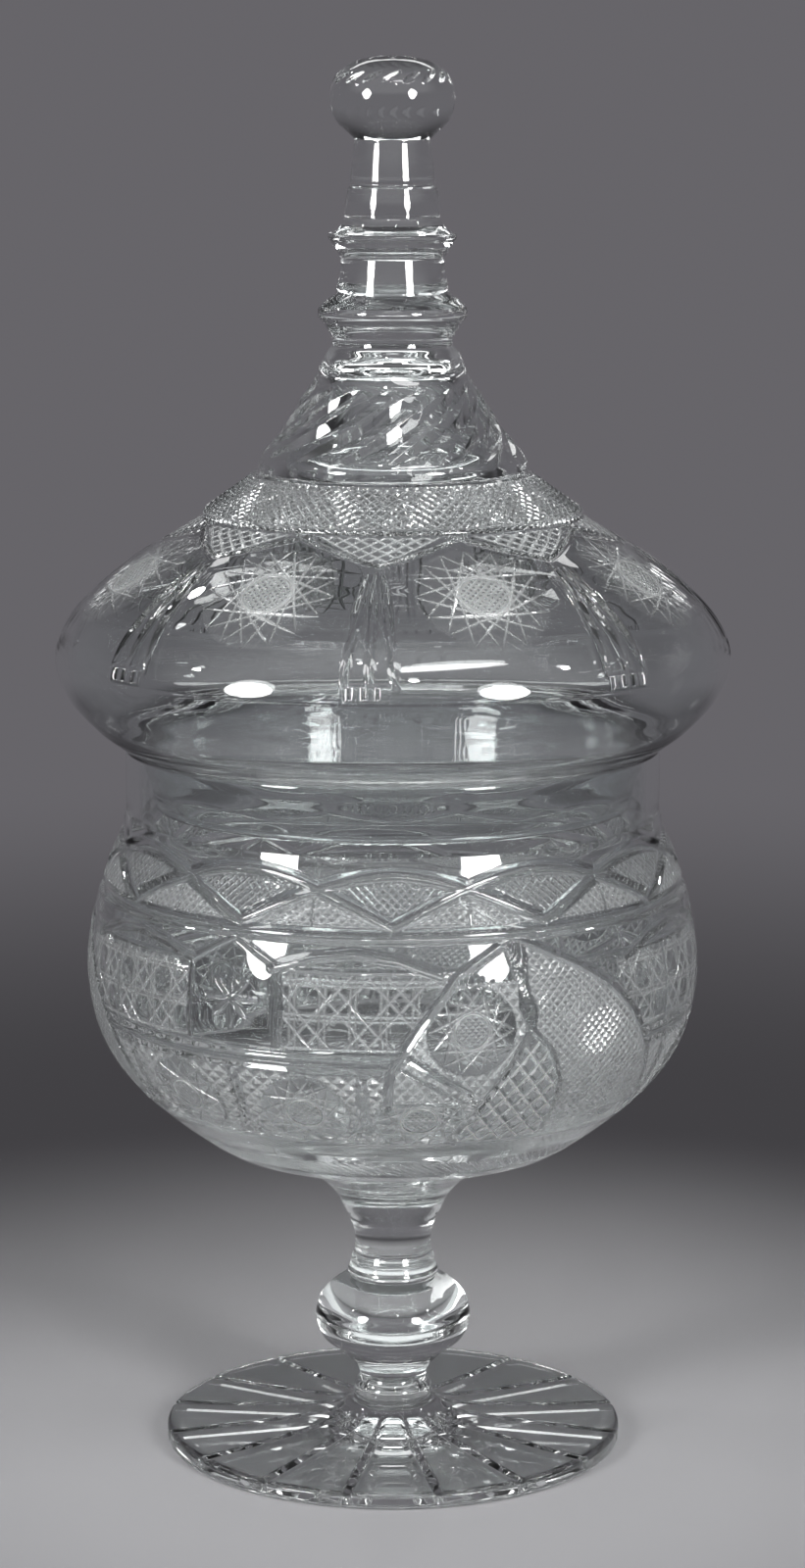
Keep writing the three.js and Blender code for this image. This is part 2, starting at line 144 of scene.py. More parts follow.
# Closed body from a chain of parts, each as (grid of points, material, work). The faces between two parts
# take the material of the second. The work on a point is whether it lies on a wheel pattern, and its place
# there: a face with three such corners is wheel cut. A closeKind is the material of the faces that join the
# last part to the first. Without one both ends are poles.
def ringBody(name, parts, materials, closeKind=None, sharpAngle=50):
    points, faces, kinds, patterns = [], [], [], []
    base, first, last = 0, None, None
    for grid, kind, work in parts:
        size = grid[..., 0].size
        ids = base + np.arange(size).reshape(grid.shape[:2])
        base += size
        points.append(grid.reshape(-1, 3))
        patterns.append(np.zeros((size, 4)) if work is None else work[..., 1:].reshape(-1, 4))
        found = [] if last is None else ringFaces(last, ids[0])
        kinds += [np.full(len(f), kind) for f in found]
        if len(ids) > 1:
            a, b = ids[:-1], ids[1:]
            found.append(np.stack([a, np.roll(a, -1, 1), np.roll(b, -1, 1), b], axis=-1).reshape(-1, 4))
            own = np.full(a.size, kind)
            if work is not None:
                on = work[..., 0] + np.roll(work[..., 0], -1, 1)
                own = np.where((on[:-1] + on[1:]).reshape(-1) >= 3, wheelCut, own)
            kinds.append(own)
        faces += found
        first = ids[0] if first is None else first
        last = ids[-1]
    if closeKind is not None:
        found = ringFaces(last, first)
        faces += found
        kinds += [np.full(len(f), closeKind) for f in found]
    sizes = np.concatenate([np.full(len(f), f.shape[1]) for f in faces])
    corners = np.concatenate([f.reshape(-1) for f in faces])
    points = np.concatenate(points) * mm
    mesh = bpy.data.meshes.new(name)
    mesh.vertices.add(len(points))
    mesh.vertices.foreach_set("co", points.astype(np.float32).reshape(-1))
    mesh.loops.add(len(corners))
    mesh.loops.foreach_set("vertex_index", corners.astype(np.int32))
    mesh.polygons.add(len(sizes))
    mesh.polygons.foreach_set("loop_start", np.concatenate([[0], np.cumsum(sizes)[:-1]]).astype(np.int32))
    mesh.polygons.foreach_set("material_index", np.concatenate(kinds).astype(np.int32))
    for material in materials:
        mesh.materials.append(material)
    mesh.update(calc_edges=True)
    mesh.shade_smooth()
    mesh.set_sharp_from_angle(angle=math.radians(sharpAngle))
    patterns = np.concatenate(patterns).astype(np.float32)
    if patterns.any():
        for title, kind, field, values in (("pattern", "FLOAT_VECTOR", "vector", patterns[:, :3]),
                                           ("patternDepth", "FLOAT", "value", patterns[:, 3])):
            attribute = mesh.attributes.new(title, kind, "POINT")
            attribute.data.foreach_set(field, np.ascontiguousarray(values).reshape(-1))
    print(name, len(sizes), "faces,", int((sizes - 2).sum()), "triangles")
    return addObject(name, mesh)


# A mesh, lamp or camera, put into the scene at the origin.
def addObject(name, data):
    thing = bpy.data.objects.new(name, data)
    bpy.context.scene.collection.objects.link(thing)
    return thing


# The piece moves with its body, and takes the place of the CAD node.
def dress(piece, body, node):
    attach(piece, body)
    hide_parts(node)


# Place of each point along a straight line, t from 0 to 1, and its distance d from that line.
def fromLine(x, y, x0, y0, x1, y1):
    dx, dy = x1 - x0, y1 - y0
    t = np.clip(((x - x0) * dx + (y - y0) * dy) / (dx * dx + dy * dy), 0, 1)
    return t, np.hypot(x - x0 - t * dx, y - y0 - t * dy)


# Distance to a chain of places: the least of the distances to its lines.
def fromChain(x, y, places):
    best = np.inf
    for (x0, y0), (x1, y1) in zip(places, places[1:]):
        best = np.minimum(best, fromLine(x, y, x0, y0, x1, y1)[1])
    return best


# V cut: depth * (1 - 2|d| / width).
def vCut(d, width, depth):
    return depth * np.clip(1 - 2 * np.abs(d) / width, 0, 1)


# Hollow cut of a round wheel: depth * (1 - (2d / width)^2).
def hollowCut(d, width, depth):
    return depth * np.clip(1 - (2 * d / width)**2, 0, 1)


# Mitre, pointed at both ends: a V cut whose width and depth follow half an ellipse along its length.
def mitre(x, y, start, end, width, depth, blunt=0.0):
    t, d = fromLine(x, y, *start, *end)
    swell = np.sqrt(np.clip(1 - (2 * t - 1)**2, blunt**2, 1))
    return np.clip(depth * (swell - 2 * d / width), 0, None)


# Parallel V cuts on every whole number: depth * (1 - 2 * distance to the nearest whole number).
def rows(p, depth):
    return vCut(np.abs(p - np.round(p)), 1, depth)


# The cut face of a wall: the radius r and height z of each row, the length s of the wall up to it, and the
# turn of each column in degrees. The wheel is 1 where a pattern lies.
def cutFace(outer, lowZ, highZ, step, columns):
    line = stretch(outer, lowZ, highZ, step)
    size = (len(line), columns)
    face = dict(outer=outer, outerLength=lengthAlong(outer), line=line, r=line[:, :1], z=line[:, 1:],
                turn=np.linspace(0, 360, columns, endpoint=False)[None, :],
                cut=np.zeros(size), wheel=np.zeros(size), pattern=np.zeros((*size, 4)))
    face["s"] = lengthAt(face, face["z"])
    return face


# Length of the wall up to a height.
def lengthAt(face, z):
    return np.interp(z, face["outer"][:, 1], face["outerLength"])


# Angle from a centre that comes again every 360 / repeats degrees, from minus to plus half of that.
def turnFrom(face, centre, repeats):
    bay = 360 / repeats
    return (face["turn"] - centre + bay / 2) % bay - bay / 2


# Flat coordinates in millimetres about a centre: x = radius * angle round the wall, y = length up it.
def flatFrom(face, centre, z, repeats=panelRepeats):
    return face["r"] * np.radians(turnFrom(face, centre, repeats)), face["s"] - lengthAt(face, z)


# Places given as [degrees, height] in the flat coordinates about a centre. Each row has its own.
def placesFrom(face, centre, z, places):
    base = lengthAt(face, z)
    return [(face["r"] * math.radians(a - centre), lengthAt(face, h) - base) for a, h in places]


# Angle of a chain of [degrees, height] places at each row's height.
def angleAt(face, chain):
    places = np.array(sorted(chain, key=lambda p: p[1]), float)
    return np.interp(face["z"], places[:, 1], places[:, 0])


# The deeper of two cuts counts. Where the new one is deeper than clean, it takes the pattern away.
def addCut(face, cut, where=True, clean=math.inf):
    face["cut"] = np.where(where, np.maximum(face["cut"], cut), face["cut"])
    face["wheel"] = np.where(where & (cut > clean), 0, face["wheel"])


# A ring cut at a height: d is the length up the wall from it.
def cutRing(face, z, width, depth, profile=vCut, where=True, cleanShare=0.1):
    cut = profile(face["s"] - lengthAt(face, z), width, depth) + 0 * face["turn"]
    addCut(face, cut, where, depth * cleanShare)


# A cut along a chain of places on the wall: d is the distance to the chain.
def cutAlong(face, places, width, depth, profile=vCut, where=True, repeats=panelRepeats, cleanShare=0.15):
    centre = sum(p[0] for p in places) / len(places)
    x, y = flatFrom(face, centre, places[0][1], repeats)
    d = fromChain(x, y, placesFrom(face, centre, places[0][1], places))
    addCut(face, profile(d, width, depth), where, depth * cleanShare)


# Mitres, each from one place to another, in degrees and height.
def cutMitres(face, cuts, width, depth, repeats=panelRepeats, where=True, blunt=0.12, cleanShare=0.1):
    for start, end in cuts:
        centre = (start[0] + end[0]) / 2
        x, y = flatFrom(face, centre, start[1], repeats)
        a, b = placesFrom(face, centre, start[1], [start, end])
        addCut(face, mitre(x, y, a, b, width, depth, blunt), where, depth * cleanShare)


# Mitres that leave a centre at bearings in degrees from upright, from a start distance to each one's length.
def cutRays(face, centre, z, bearings, lengths, width, depth, where, start=0.0, blunt=0.1):
    x, y = flatFrom(face, centre, z)
    for bearing, length in zip(bearings, lengths):
        across, up = math.sin(math.radians(bearing)), math.cos(math.radians(bearing))
        ends = [(across * away, up * away) for away in (start, length)]
        addCut(face, mitre(x, y, *ends, width, depth, blunt), where)


# A wheel pattern on part of the face: the material cuts it by its number, at the flat coordinates u and v,
# as deep as given in millimetres.
def layPattern(face, number, u, v, depth, where):
    u, v, where = np.broadcast_arrays(u, v, where)
    new = np.stack([u, v, 0 * u + number, 0 * u + depth], -1)
    face["pattern"] = np.where(where[..., None], new, face["pattern"])
    face["wheel"] = np.where(where, 1, face["wheel"])
    face["cut"] = np.where(where, 0, face["cut"])


# Crossing cuts at a slope, one pitch apart each way: u = (x sin + y cos) / pitch and v = (x sin - y cos) /
# pitch. Where they show in the outline, part of their depth is relief of the mesh.
def layHatch(face, number, x, y, shape, where):
    c, s = math.cos(math.radians(shape["slope"])), math.sin(math.radians(shape["slope"]))
    u, v = (x * s + y * c) / shape["pitch"], (x * s - y * c) / shape["pitch"]
    layPattern(face, number, u, v, shape["depth"], where)
    if "relief" in shape:
        addCut(face, np.maximum(rows(u, shape["relief"]), rows(v, shape["relief"])), where)


# The material's own hobstar, drawn at a radius of its own: its coordinates are scaled by the two radii.
def layHobstar(face, centre, z, radius, pattern, depth, repeats, where=True):
    x, y = flatFrom(face, centre, z, repeats)
    size = pattern["radius"] / radius
    layPattern(face, hobstar, x * size, y * size, depth, where & (np.hypot(x, y) < radius))


# Part of a body: the face with its cuts. A pattern has no depth where its coordinates jump from one point to
# the next, or its number changes.
def cutPart(face, jumpLimit=0.95):
    pattern = face["pattern"]
    around = [np.roll(pattern, 1, 1), np.roll(pattern, -1, 1), np.vstack([pattern[:1], pattern[:-1]]),
              np.vstack([pattern[1:], pattern[-1:]])]
    jump = np.max([np.abs(pattern[..., :3] - near[..., :3]).max(-1) for near in around], axis=0)
    pattern[..., 3] = np.where(jump > jumpLimit, 0, pattern[..., 3])
    work = np.concatenate([face["wheel"][..., None], pattern], -1)
    return turned(face["line"], face["turn"].size, polished, face["cut"], 0.0, work)


# Parts of a body: a fused joint at the start of a line, and the polished wall that goes on from it.
def jointed(line, columns):
    return [turned(line[:1], columns, fused), turned(line[1:], columns)]


# A closed belt: its cut face, and the plain wall inside it. Both of its edges are fused joints.
def belt(name, face, inside, columns, materials):
    return ringBody(name, [cutPart(face), *jointed(inside, columns)], materials, fused)


# Bowl. Its lines are places of radius and height. The seams are the heights between its belts, and the last
# one is the foot of its neck.
bowl = dict(
    outer=[(51.4, 90.6), (56.5, 93.8), (65.5, 100.6), (74.6, 109), (81.5, 118), (85.9, 128.2), (87.8, 139.5),
           (87.7, 148), (85.9, 158.9), (82.4, 171.2), (78.5, 180.6), (76.4, 187.5)],
    inner=[(24, 97.2), (44, 99.8), (59.5, 105.4), (70.4, 113.6), (78.2, 125), (81.7, 138), (81.6, 152),
           (78.6, 168), (73, 182), (72.4, 187.5)],
    underside=[(31, 86.5), (36, 86.9), (44, 88.3), (49.5, 89.8), (51.3, 90.5)],
    neckOut=[(76.4, 187.9), (76.4, 205.5)], neckIn=[(72.4, 204.8), (72.4, 187.9)],
    lip=[(76.4, 205.6), (76.1, 206.45), (75.2, 206.8), (73.6, 206.8), (72.7, 206.45), (72.4, 205.6)],
    floor=[(12, 96.75), (4, 96.6)], jointRings=(8, 20), floorLow=97.3, beadTop=98.8, plainLow=99.4,
    seams=(105.8, 133.3, 150.3, 167.4, 187.5),
    beadStep=0.5, plainStep=1.2, rowStep=0.42, panelStep=0.3555, upperStep=0.387, lipStep=0.35, roundStep=1.5,
    neckStep=1.6, beltStep=1.8, upperColumns=1440, panelColumns=1620, rowColumns=1200, beadColumns=1080,
    innerColumns=180, rowInner=120, neckColumns=288, undersideColumns=120, floorColumns=60)
ringGroove = dict(z=167.4, width=4.6, depth=1.3)
twinMitres = dict(heights=(135.2, 131.4), cut=dict(width=2.8, depth=1.0))
scallops = dict(count=12, top=183.2, tip=169.8, width=4.4, depth=1.25, originZ=175.5)
plaid = dict(slope=45, pitch=1.75, depth=0.5)
fineHatch = dict(slope=45, pitch=1.9, depth=0.62)
cane = dict(stepX=8.4, stepY=9.3, slantHalf=4.25, uprightHalf=3.45, levelHalf=4.0, width=1.3, depth=0.65)
leafHatch = dict(slope=50, pitch=2.6, depth=0.8)
coarse = dict(slope=50.3, pitch=4.3, depth=1.0)
star = dict(points=14, skip=5, radius=12.2, button=4.9, width=1.4, depth=0.7, pitch=1.3, buttonDepth=0.3)


# Height of a scallop line, a half wave of a cosine: z = tip + (top - tip) cos(90 degrees * a / bay).
def scallopZ(a):
    bay = 360 / scallops["count"]
    return scallops["tip"] + (scallops["top"] - scallops["tip"]) * np.cos(np.clip(a / bay, -1, 1) * np.pi / 2)


# Cuts of the neck side: twelve hollow scallops that cross, with plaid in the cells and fine diamonds below.
# The distance to a scallop is the length over it, divided by sqrt(1 + slope^2).
def cutScallops(face):
    bay = 360 / scallops["count"]
    a, s = turnFrom(face, 0, scallops["count"]), face["s"]
    own, near = lengthAt(face, scallopZ(a)), lengthAt(face, scallopZ(bay - np.abs(a)))
    x, y = flatFrom(face, 0, scallops["originZ"], scallops["count"])
    groove = lengthAt(face, ringGroove["z"]) + ringGroove["width"] / 2
    layHatch(face, openHatch, x, y, plaid, (s < own) & (s > near))
    layHatch(face, fullHatch, x, y, fineHatch, (s < near) & (s > groove))
    for b in (a, a - bay, a + bay):
        fall = -(scallops["top"] - scallops["tip"]) * np.sin(b / bay * np.pi / 2) * np.pi / 2
        slope = fall / (face["r"] * np.radians(bay))
        d = (s - lengthAt(face, scallopZ(b))) / np.sqrt(1 + slope**2)
        addCut(face, hollowCut(d, scallops["width"], scallops["depth"]), np.abs(b) <= bay, 0)


# The big leaf runs from the ring groove down over the panels. Its lines are chains of [degrees, height], its
# edges are a line's name, width and depth, and its bars a line, width and depth.
leaf = dict(
    left=[(-0.9, 120), (-0.5, 130.5), (5, 143.8), (11.8, 156.9), (22.8, 166.3)],
    bow=[(59.5, 115.5), (55.5, 128.5), (49.4, 141.5), (44, 149.5), (36.7, 156.6), (22.8, 166.3)],
    lower=[(25.3, 141), (12.2, 109)], lowerRight=[(25.6, 141), (30, 134), (32.6, 124), (33.4, 109)],
    sheaf=[(22.8, 166.3), (24, 153), (24.9, 146.5), (25.5, 140.5)], sheafSpread=(0.75, 0.22, 0.5, 0.16),
    sheafSide=3, sheafTop=165.5, sheafCut=dict(width=1.15, depth=0.75), lowZ=116, topZ=166.3,
    starAt=(14.2, 141.8), starLow=121, hatchTop=155, fineLow=112, fineTop=163, fineFrom=0.5,
    hatchAt=(25.4, 141), underLow=107, rays=range(-48, 49, 12), rayLength=15.5, shorter=0.025,
    ray=dict(width=1.5, depth=0.6, start=7),
    edges=[("lower", 2.4, 1.0), ("lowerRight", 2.2, 0.9), ("left", 3.1, 1.1), ("bow", 2.9, 1.05)],
    bars=[([(3.2, 134.3), (14.5, 123.5)], 2.6, 0.9), ([(1.5, 131.5), (12.6, 121.5)], 1.4, 0.7)])


# Angle of each column from its panel's middle, where it lies between the leaf's two outer lines, and where
# between the two lines under its waist.
def leafPlaces(face):
    t = turnFrom(face, 0, panelRepeats)
    within = (t > angleAt(face, leaf["left"])) & (t < angleAt(face, leaf["bow"]))
    under = (t > angleAt(face, leaf["lower"])) & (t < angleAt(face, leaf["lowerRight"]))
    return t, within, under


# The leaf's cuts: a star on its left, fine diamonds on its right, a sheaf of long mitres between them, and
# slanting cuts under the sheaf's waist.
def cutLeaf(face):
    z = face["z"]
    t, within, under = leafPlaces(face)
    waistZ = leaf["lower"][0][1]
    inLeaf = within & (z < leaf["topZ"]) & (z > leaf["lowZ"])
    middle = angleAt(face, leaf["sheaf"])
    left = np.where(z > waistZ, middle, angleAt(face, leaf["lower"]))
    starSide = inLeaf & (t < left) & (z > leaf["starLow"])
    layHatch(face, fullHatch, *flatFrom(face, *leaf["starAt"]), leafHatch, starSide & (z < leaf["hatchTop"]))
    lengths = [leaf["rayLength"] - leaf["shorter"] * abs(bearing) for bearing in leaf["rays"]]
    cutRays(face, *leaf["starAt"], leaf["rays"], lengths, where=starSide, **leaf["ray"])
    layHobstar(face, *leaf["starAt"], star["radius"], star, star["depth"], panelRepeats, starSide)
    right = np.where(z > waistZ, middle, angleAt(face, leaf["lowerRight"])) + leaf["fineFrom"]
    fine = (t < angleAt(face, leaf["bow"])) & (t > right) & (z > leaf["fineLow"]) & (z < leaf["fineTop"])
    x, y = flatFrom(face, *leaf["hatchAt"])
    layHatch(face, fullHatch, x, y, fineHatch, fine)
    layHatch(face, openHatch, x, y, coarse, under & (z < waistZ) & (z > leaf["underLow"]))
    sheaf = list(zip(leaf["sheaf"], leaf["sheafSpread"]))
    for k in range(-leaf["sheafSide"], leaf["sheafSide"] + 1):
        chain = [(a + spread * k, min(h, leaf["sheafTop"])) for (a, h), spread in sheaf]
        cutAlong(face, chain, **leaf["sheafCut"])
    for line, width, depth in leaf["edges"]:
        cutAlong(face, leaf[line], width, depth)
    for bar in leaf["bars"]:
        cutAlong(face, *bar, where=inLeaf)
    for height in twinMitres["heights"]:
        cutRing(face, height, **twinMitres["cut"], where=~inLeaf)


# Panels between the leaves: canings as [from, to, origin] in degrees, a small star, arches, a roof over the
# star and uprights beside it. The cuts are lines, their width and their depth.
panels = dict(
    canings=[(-20.5, 12, -15.1), (-60, -39, -46), (45, 61, 74)], originZ=150.5, topZ=158.3, lowZ=136.4,
    starAt=(-29.9, 149.3), rays=range(0, 360, 45), rayLengths=(8.6, 7.4) * 4, ray=dict(width=2.1, depth=0.8),
    arches=[([(-22, 158.4), (-14.5, 161.8), (-7, 163.2), (1, 161.4), (9, 157.2)], 3.4, 1.0),
            ([(-72, 156.8), (-63, 161.3), (-55, 162.9), (-47, 161.6), (-39, 158.4)], 3.0, 0.9)],
    frame=[([(-39, 158.4), (-39, 136.4)], 1.7, 0.7), ([(-39, 158.4), (-30, 165.8), (-21, 158.4)], 2.2, 0.9)],
    uprights=[([((-20.9, 158.6), (-20.9, 136))], 4.2, 1.0),
              ([((-21.6, 158), (-21.6, 137)), ((-20.2, 158), (-20.2, 137))], 1.1, 0.9)],
    topRing=dict(z=158.2, width=1.2, depth=0.5), bareFrom=-39, bareTo=-20.5)


# Cuts of the bowl's broad part: the panels, the leaf over them and the ring groove on top.
def cutPanels(face):
    t, within, under = leafPlaces(face)
    panel = (face["z"] > panels["lowZ"]) & (face["z"] < panels["topZ"]) & ~within
    for start, end, origin in panels["canings"]:
        x, y = flatFrom(face, origin, panels["originZ"])
        layPattern(face, caning, x, y, cane["depth"], panel & (t > start) & (t < end))
    cutRays(face, *panels["starAt"], panels["rays"], panels["rayLengths"], where=panel, **panels["ray"])
    for cuts in panels["uprights"]:
        cutMitres(face, *cuts)
    for arch in panels["arches"]:
        cutAlong(face, *arch, hollowCut, ~within)
    for line in panels["frame"]:
        cutAlong(face, *line)
    cutRing(face, **panels["topRing"], where=~within & ((t > panels["bareTo"]) | (t < panels["bareFrom"])))
    cutLeaf(face)
    cutRing(face, **ringGroove, profile=hollowCut)


# Lower row: hobstars at [degrees, height] between uprights, over a slanting ground.
lowRow = dict(
    hatch=dict(slope=42, pitch=3.0, depth=0.75, relief=0.5), hatchAt=(-30.5, 118), lowZ=107, topZ=129.8,
    leafTop=122, fineLow=112, stars=[(-44, 117.6), (-17, 117.2), (5.4, 115.4), (52, 112.5)],
    starRadius=12.4, starDepth=0.8, uprights=(-57.5, -30.5, -5.6), half=0.7, uprightTop=130, uprightLow=108,
    upright=dict(width=1.8, depth=0.8), fan=(-2, -1, 1, 2), fanTop=119, fanLow=107, fanStep=1.9,
    fanCut=dict(width=1.5, depth=0.65), ring=dict(z=106.6, width=2.0, depth=0.7))


# Cuts of the bowl's lower slope. The row leaves out what belongs to the leaf.
def cutLowerRow(face):
    z, row = face["z"], lowRow
    t, within, under = leafPlaces(face)
    fine = (t > angleAt(face, leaf["lowerRight"])) & (t < angleAt(face, leaf["bow"])) & (z > row["fineLow"])
    inLeaf = within & (z > row["leafTop"])
    free = (z < row["topZ"]) & (z > row["lowZ"]) & ~under & ~fine & ~inLeaf
    layHatch(face, fullHatch, *flatFrom(face, *row["hatchAt"]), row["hatch"], free)
    for centre, height in row["stars"]:
        layHobstar(face, centre, height, row["starRadius"], star, row["starDepth"], panelRepeats, free)
    for centre in row["uprights"]:
        sides = (centre - row["half"], centre + row["half"])
        pair = [((a, row["uprightTop"]), (a, row["uprightLow"])) for a in sides]
        cutMitres(face, pair, **row["upright"], where=free)
        fan = [((centre, row["fanTop"]), (centre + row["fanStep"] * k, row["fanLow"])) for k in row["fan"]]
        cutMitres(face, fan, **row["fanCut"], where=free)
    cutRing(face, **row["ring"])


beads = dict(count=135, lowZ=93.4, topZ=98, slantZ=95.7, slant=3.4, depth=0.95,
             rings=[dict(z=98.4, width=1.2, depth=0.6), dict(z=93.1, width=1.0, depth=0.5)])


# Slanting beads round the lower edge: depth * |2 (p mod 1) - 1|, p = angle * count / 360 + length / slant.
def cutBeads(face):
    up = (face["s"] - lengthAt(face, beads["slantZ"])) / beads["slant"]
    cut = beads["depth"] * np.abs(2 * ((face["turn"] * beads["count"] / 360 + up) % 1) - 1)
    addCut(face, cut, (face["z"] > beads["lowZ"]) & (face["z"] < beads["topZ"]))
    for ring in beads["rings"]:
        cutRing(face, **ring)


# The bowl as five closed belts: base, lower row, two belts of panels, and the scallops with neck and rim.
def makeBowl(materials):
    outer = smoothLine(bowl["outer"], outerStep)
    row, low, mid, high, top = bowl["seams"]
    n, nUnder, nNeck = bowl["innerColumns"], bowl["undersideColumns"], bowl["neckColumns"]
    beadFace = cutFace(outer, outer[0, 1], bowl["beadTop"], bowl["beadStep"], bowl["beadColumns"])
    cutBeads(beadFace)
    plain = cutFace(outer, bowl["plainLow"], row - seam, bowl["plainStep"], n)
    radius, z = waist["shank"]
    inside = innerLine(bowl["inner"], bowl["floorLow"], row - seam, bowl["neckStep"])
    pieces = [ringBody("bowl_base", [
        pole(z + seam, fused), flatRing([*bowl["jointRings"], radius], z + seam, nUnder),
        turned(smoothLine(bowl["underside"], bowl["roundStep"])[1:], nUnder), cutPart(beadFace),
        cutPart(plain), *jointed(inside, n), turned(bowl["floor"], bowl["floorColumns"]),
        pole(bowl["floor"][-1][1], polished)], materials)]
    rowBelt = (bowl["rowStep"], bowl["rowColumns"], bowl["rowInner"], (cutLowerRow, cutLeaf))
    panelBelt = (bowl["panelStep"], bowl["panelColumns"], n, (cutPanels,))
    for name, z0, z1, step, columns, innerColumns, cuts in (
            ("bowl_lower_row", row, low, *rowBelt), ("bowl_panels_low", low, mid, *panelBelt),
            ("bowl_panels_high", mid, high, *panelBelt)):
        face = cutFace(outer, z0 + seam, z1 - seam, step, columns)
        for cut in cuts:
            cut(face)
        inside = innerLine(bowl["inner"], z0 + seam, z1 - seam, bowl["beltStep"])
        pieces.append(belt(name, face, inside, innerColumns, materials))
    upper = cutFace(outer, high + seam, top, bowl["upperStep"], bowl["upperColumns"])
    cutScallops(upper)
    cutRing(upper, **ringGroove, profile=hollowCut)
    parts = [cutPart(upper), turned(evenSteps(bowl["neckOut"], bowl["neckStep"]), nNeck),
             turned(smoothLine(bowl["lip"], bowl["lipStep"]), nNeck),
             turned(evenSteps(bowl["neckIn"], bowl["beltStep"]), nNeck),
             turned(innerLine(bowl["inner"], high + seam, top, bowl["neckStep"]), nNeck)]
    pieces.append(ringBody("bowl_upper", parts, materials, fused))
    for piece in pieces:
        dress(piece, "jar", "bowl")


# Cover: dome. Its pattern comes eight times round, turned a little from the front.
dome = dict(
    wall=[(78.4, 207.5), (85.9, 213.4), (93, 221.8), (96.1, 232), (92.6, 241.8), (84.4, 251), (73, 260.2),
          (62.6, 266.3), (54.3, 271.4), (53.8, 272.2)],
    inner=[(70, 209.2), (80, 212), (89.2, 221.4), (92.8, 232.2), (88.6, 242.4), (79.8, 250.8), (68.4, 258.2),
           (57, 264.2), (46, 271.4), (33.6, 281)],
    flange=[(65, 190.4), (65.7, 189.6), (67.1, 189.6), (67.9, 190.4), (69.2, 196), (71.4, 203.1),
            (71.4, 207)],
    seat=[(71.45, 207.1), (76.4, 207.1), (78.2, 207.4)], throat=[(68.2, 207.6), (68.2, 203.1), (64.8, 190.7)],
    roofLow=209.3, plainTop=232.3, slopeLow=232.7, crownZ=246.6, seamZ=272.2, mouth=31, topZ=284.05,
    flangeStep=0.9, seatStep=1.2, plainStep=1.0, slopeStep=0.5, innerStep=1.6,
    plainColumns=160, lowColumns=960, crownColumns=1024, crownInner=128)
domeRepeats = 8
domeTurn = -3.6
domeStar = dict(points=16, skip=6, radius=19.2, button=6.9, width=1.3, depth=0.55, pitch=1.5, buttonDepth=0.3)
domeStarZ = 258
vandyke = dict(tipZ=264.9, topZ=272.6, past=1.18, over=1.2, cut=dict(width=1.7, depth=0.75))
vandykeHatch = dict(slope=37, pitch=2.9, depth=0.6)
palm = dict(ends=((1.7, 263.2), (4.4, 236.2)), cut=dict(width=3.3, depth=0.85))
comb = dict(topZ=237.4, lowZ=232.8, half=3.6, pitch=0.9, depth=0.5)
band = dict(
    edge=[(53.8, 0), (53.75, 0.35)], side=[(53.8, 0.9), (53.3, 1.8)], end=(39.9, 283.6), topRadius=39.2,
    pitch=3.0, steps=8, relief=0.75, depth=0.25, rise=3, bare=0.5, edgeStep=0.2, innerStep=1.8, innerLow=0.3,
    jointGap=0.01, columns=768, inner=192, sharpAngle=25, groove=dict(width=1.8, depth=0.7))


# Cuts of the dome: hobstars, vandyke points of hatch that hang from the band, and under each point a palm of
# three mitres with a comb across their ends, depth * |2 (angle / pitch mod 1) - 1|.
def cutDome(face):
    half = 180 / domeRepeats
    z, t = face["z"], turnFrom(face, domeTurn, domeRepeats)
    starAt = (domeTurn - half, domeStarZ)
    layHobstar(face, *starAt, domeStar["radius"], domeStar, domeStar["depth"], domeRepeats)
    tip, top = vandyke["tipZ"], vandyke["topZ"]
    x, y = flatFrom(face, domeTurn, tip, domeRepeats)
    layHatch(face, openHatch, x, y, vandykeHatch, z > tip + (top - tip) * np.abs(t) / half)
    for side in (-1, 1):
        line = [(domeTurn, tip), (domeTurn + side * half * vandyke["past"], top + vandyke["over"])]
        cutAlong(face, line, **vandyke["cut"], repeats=domeRepeats)
    leaves = [[(domeTurn + k * spread, height) for spread, height in palm["ends"]] for k in (-1, 0, 1)]
    cutMitres(face, leaves, **palm["cut"], repeats=domeRepeats)
    inComb = (np.abs(t) < comb["half"]) & (z > comb["lowZ"]) & (z < comb["topZ"])
    teeth = comb["depth"] * np.abs(2 * (t / comb["pitch"] % 1) - 1)
    addCut(face, teeth, inComb)
    face["wheel"] = np.where(inComb & (teeth > np.max(teeth) / 2), 1, face["wheel"])
    cutRing(face, dome["seamZ"], **band["groove"])


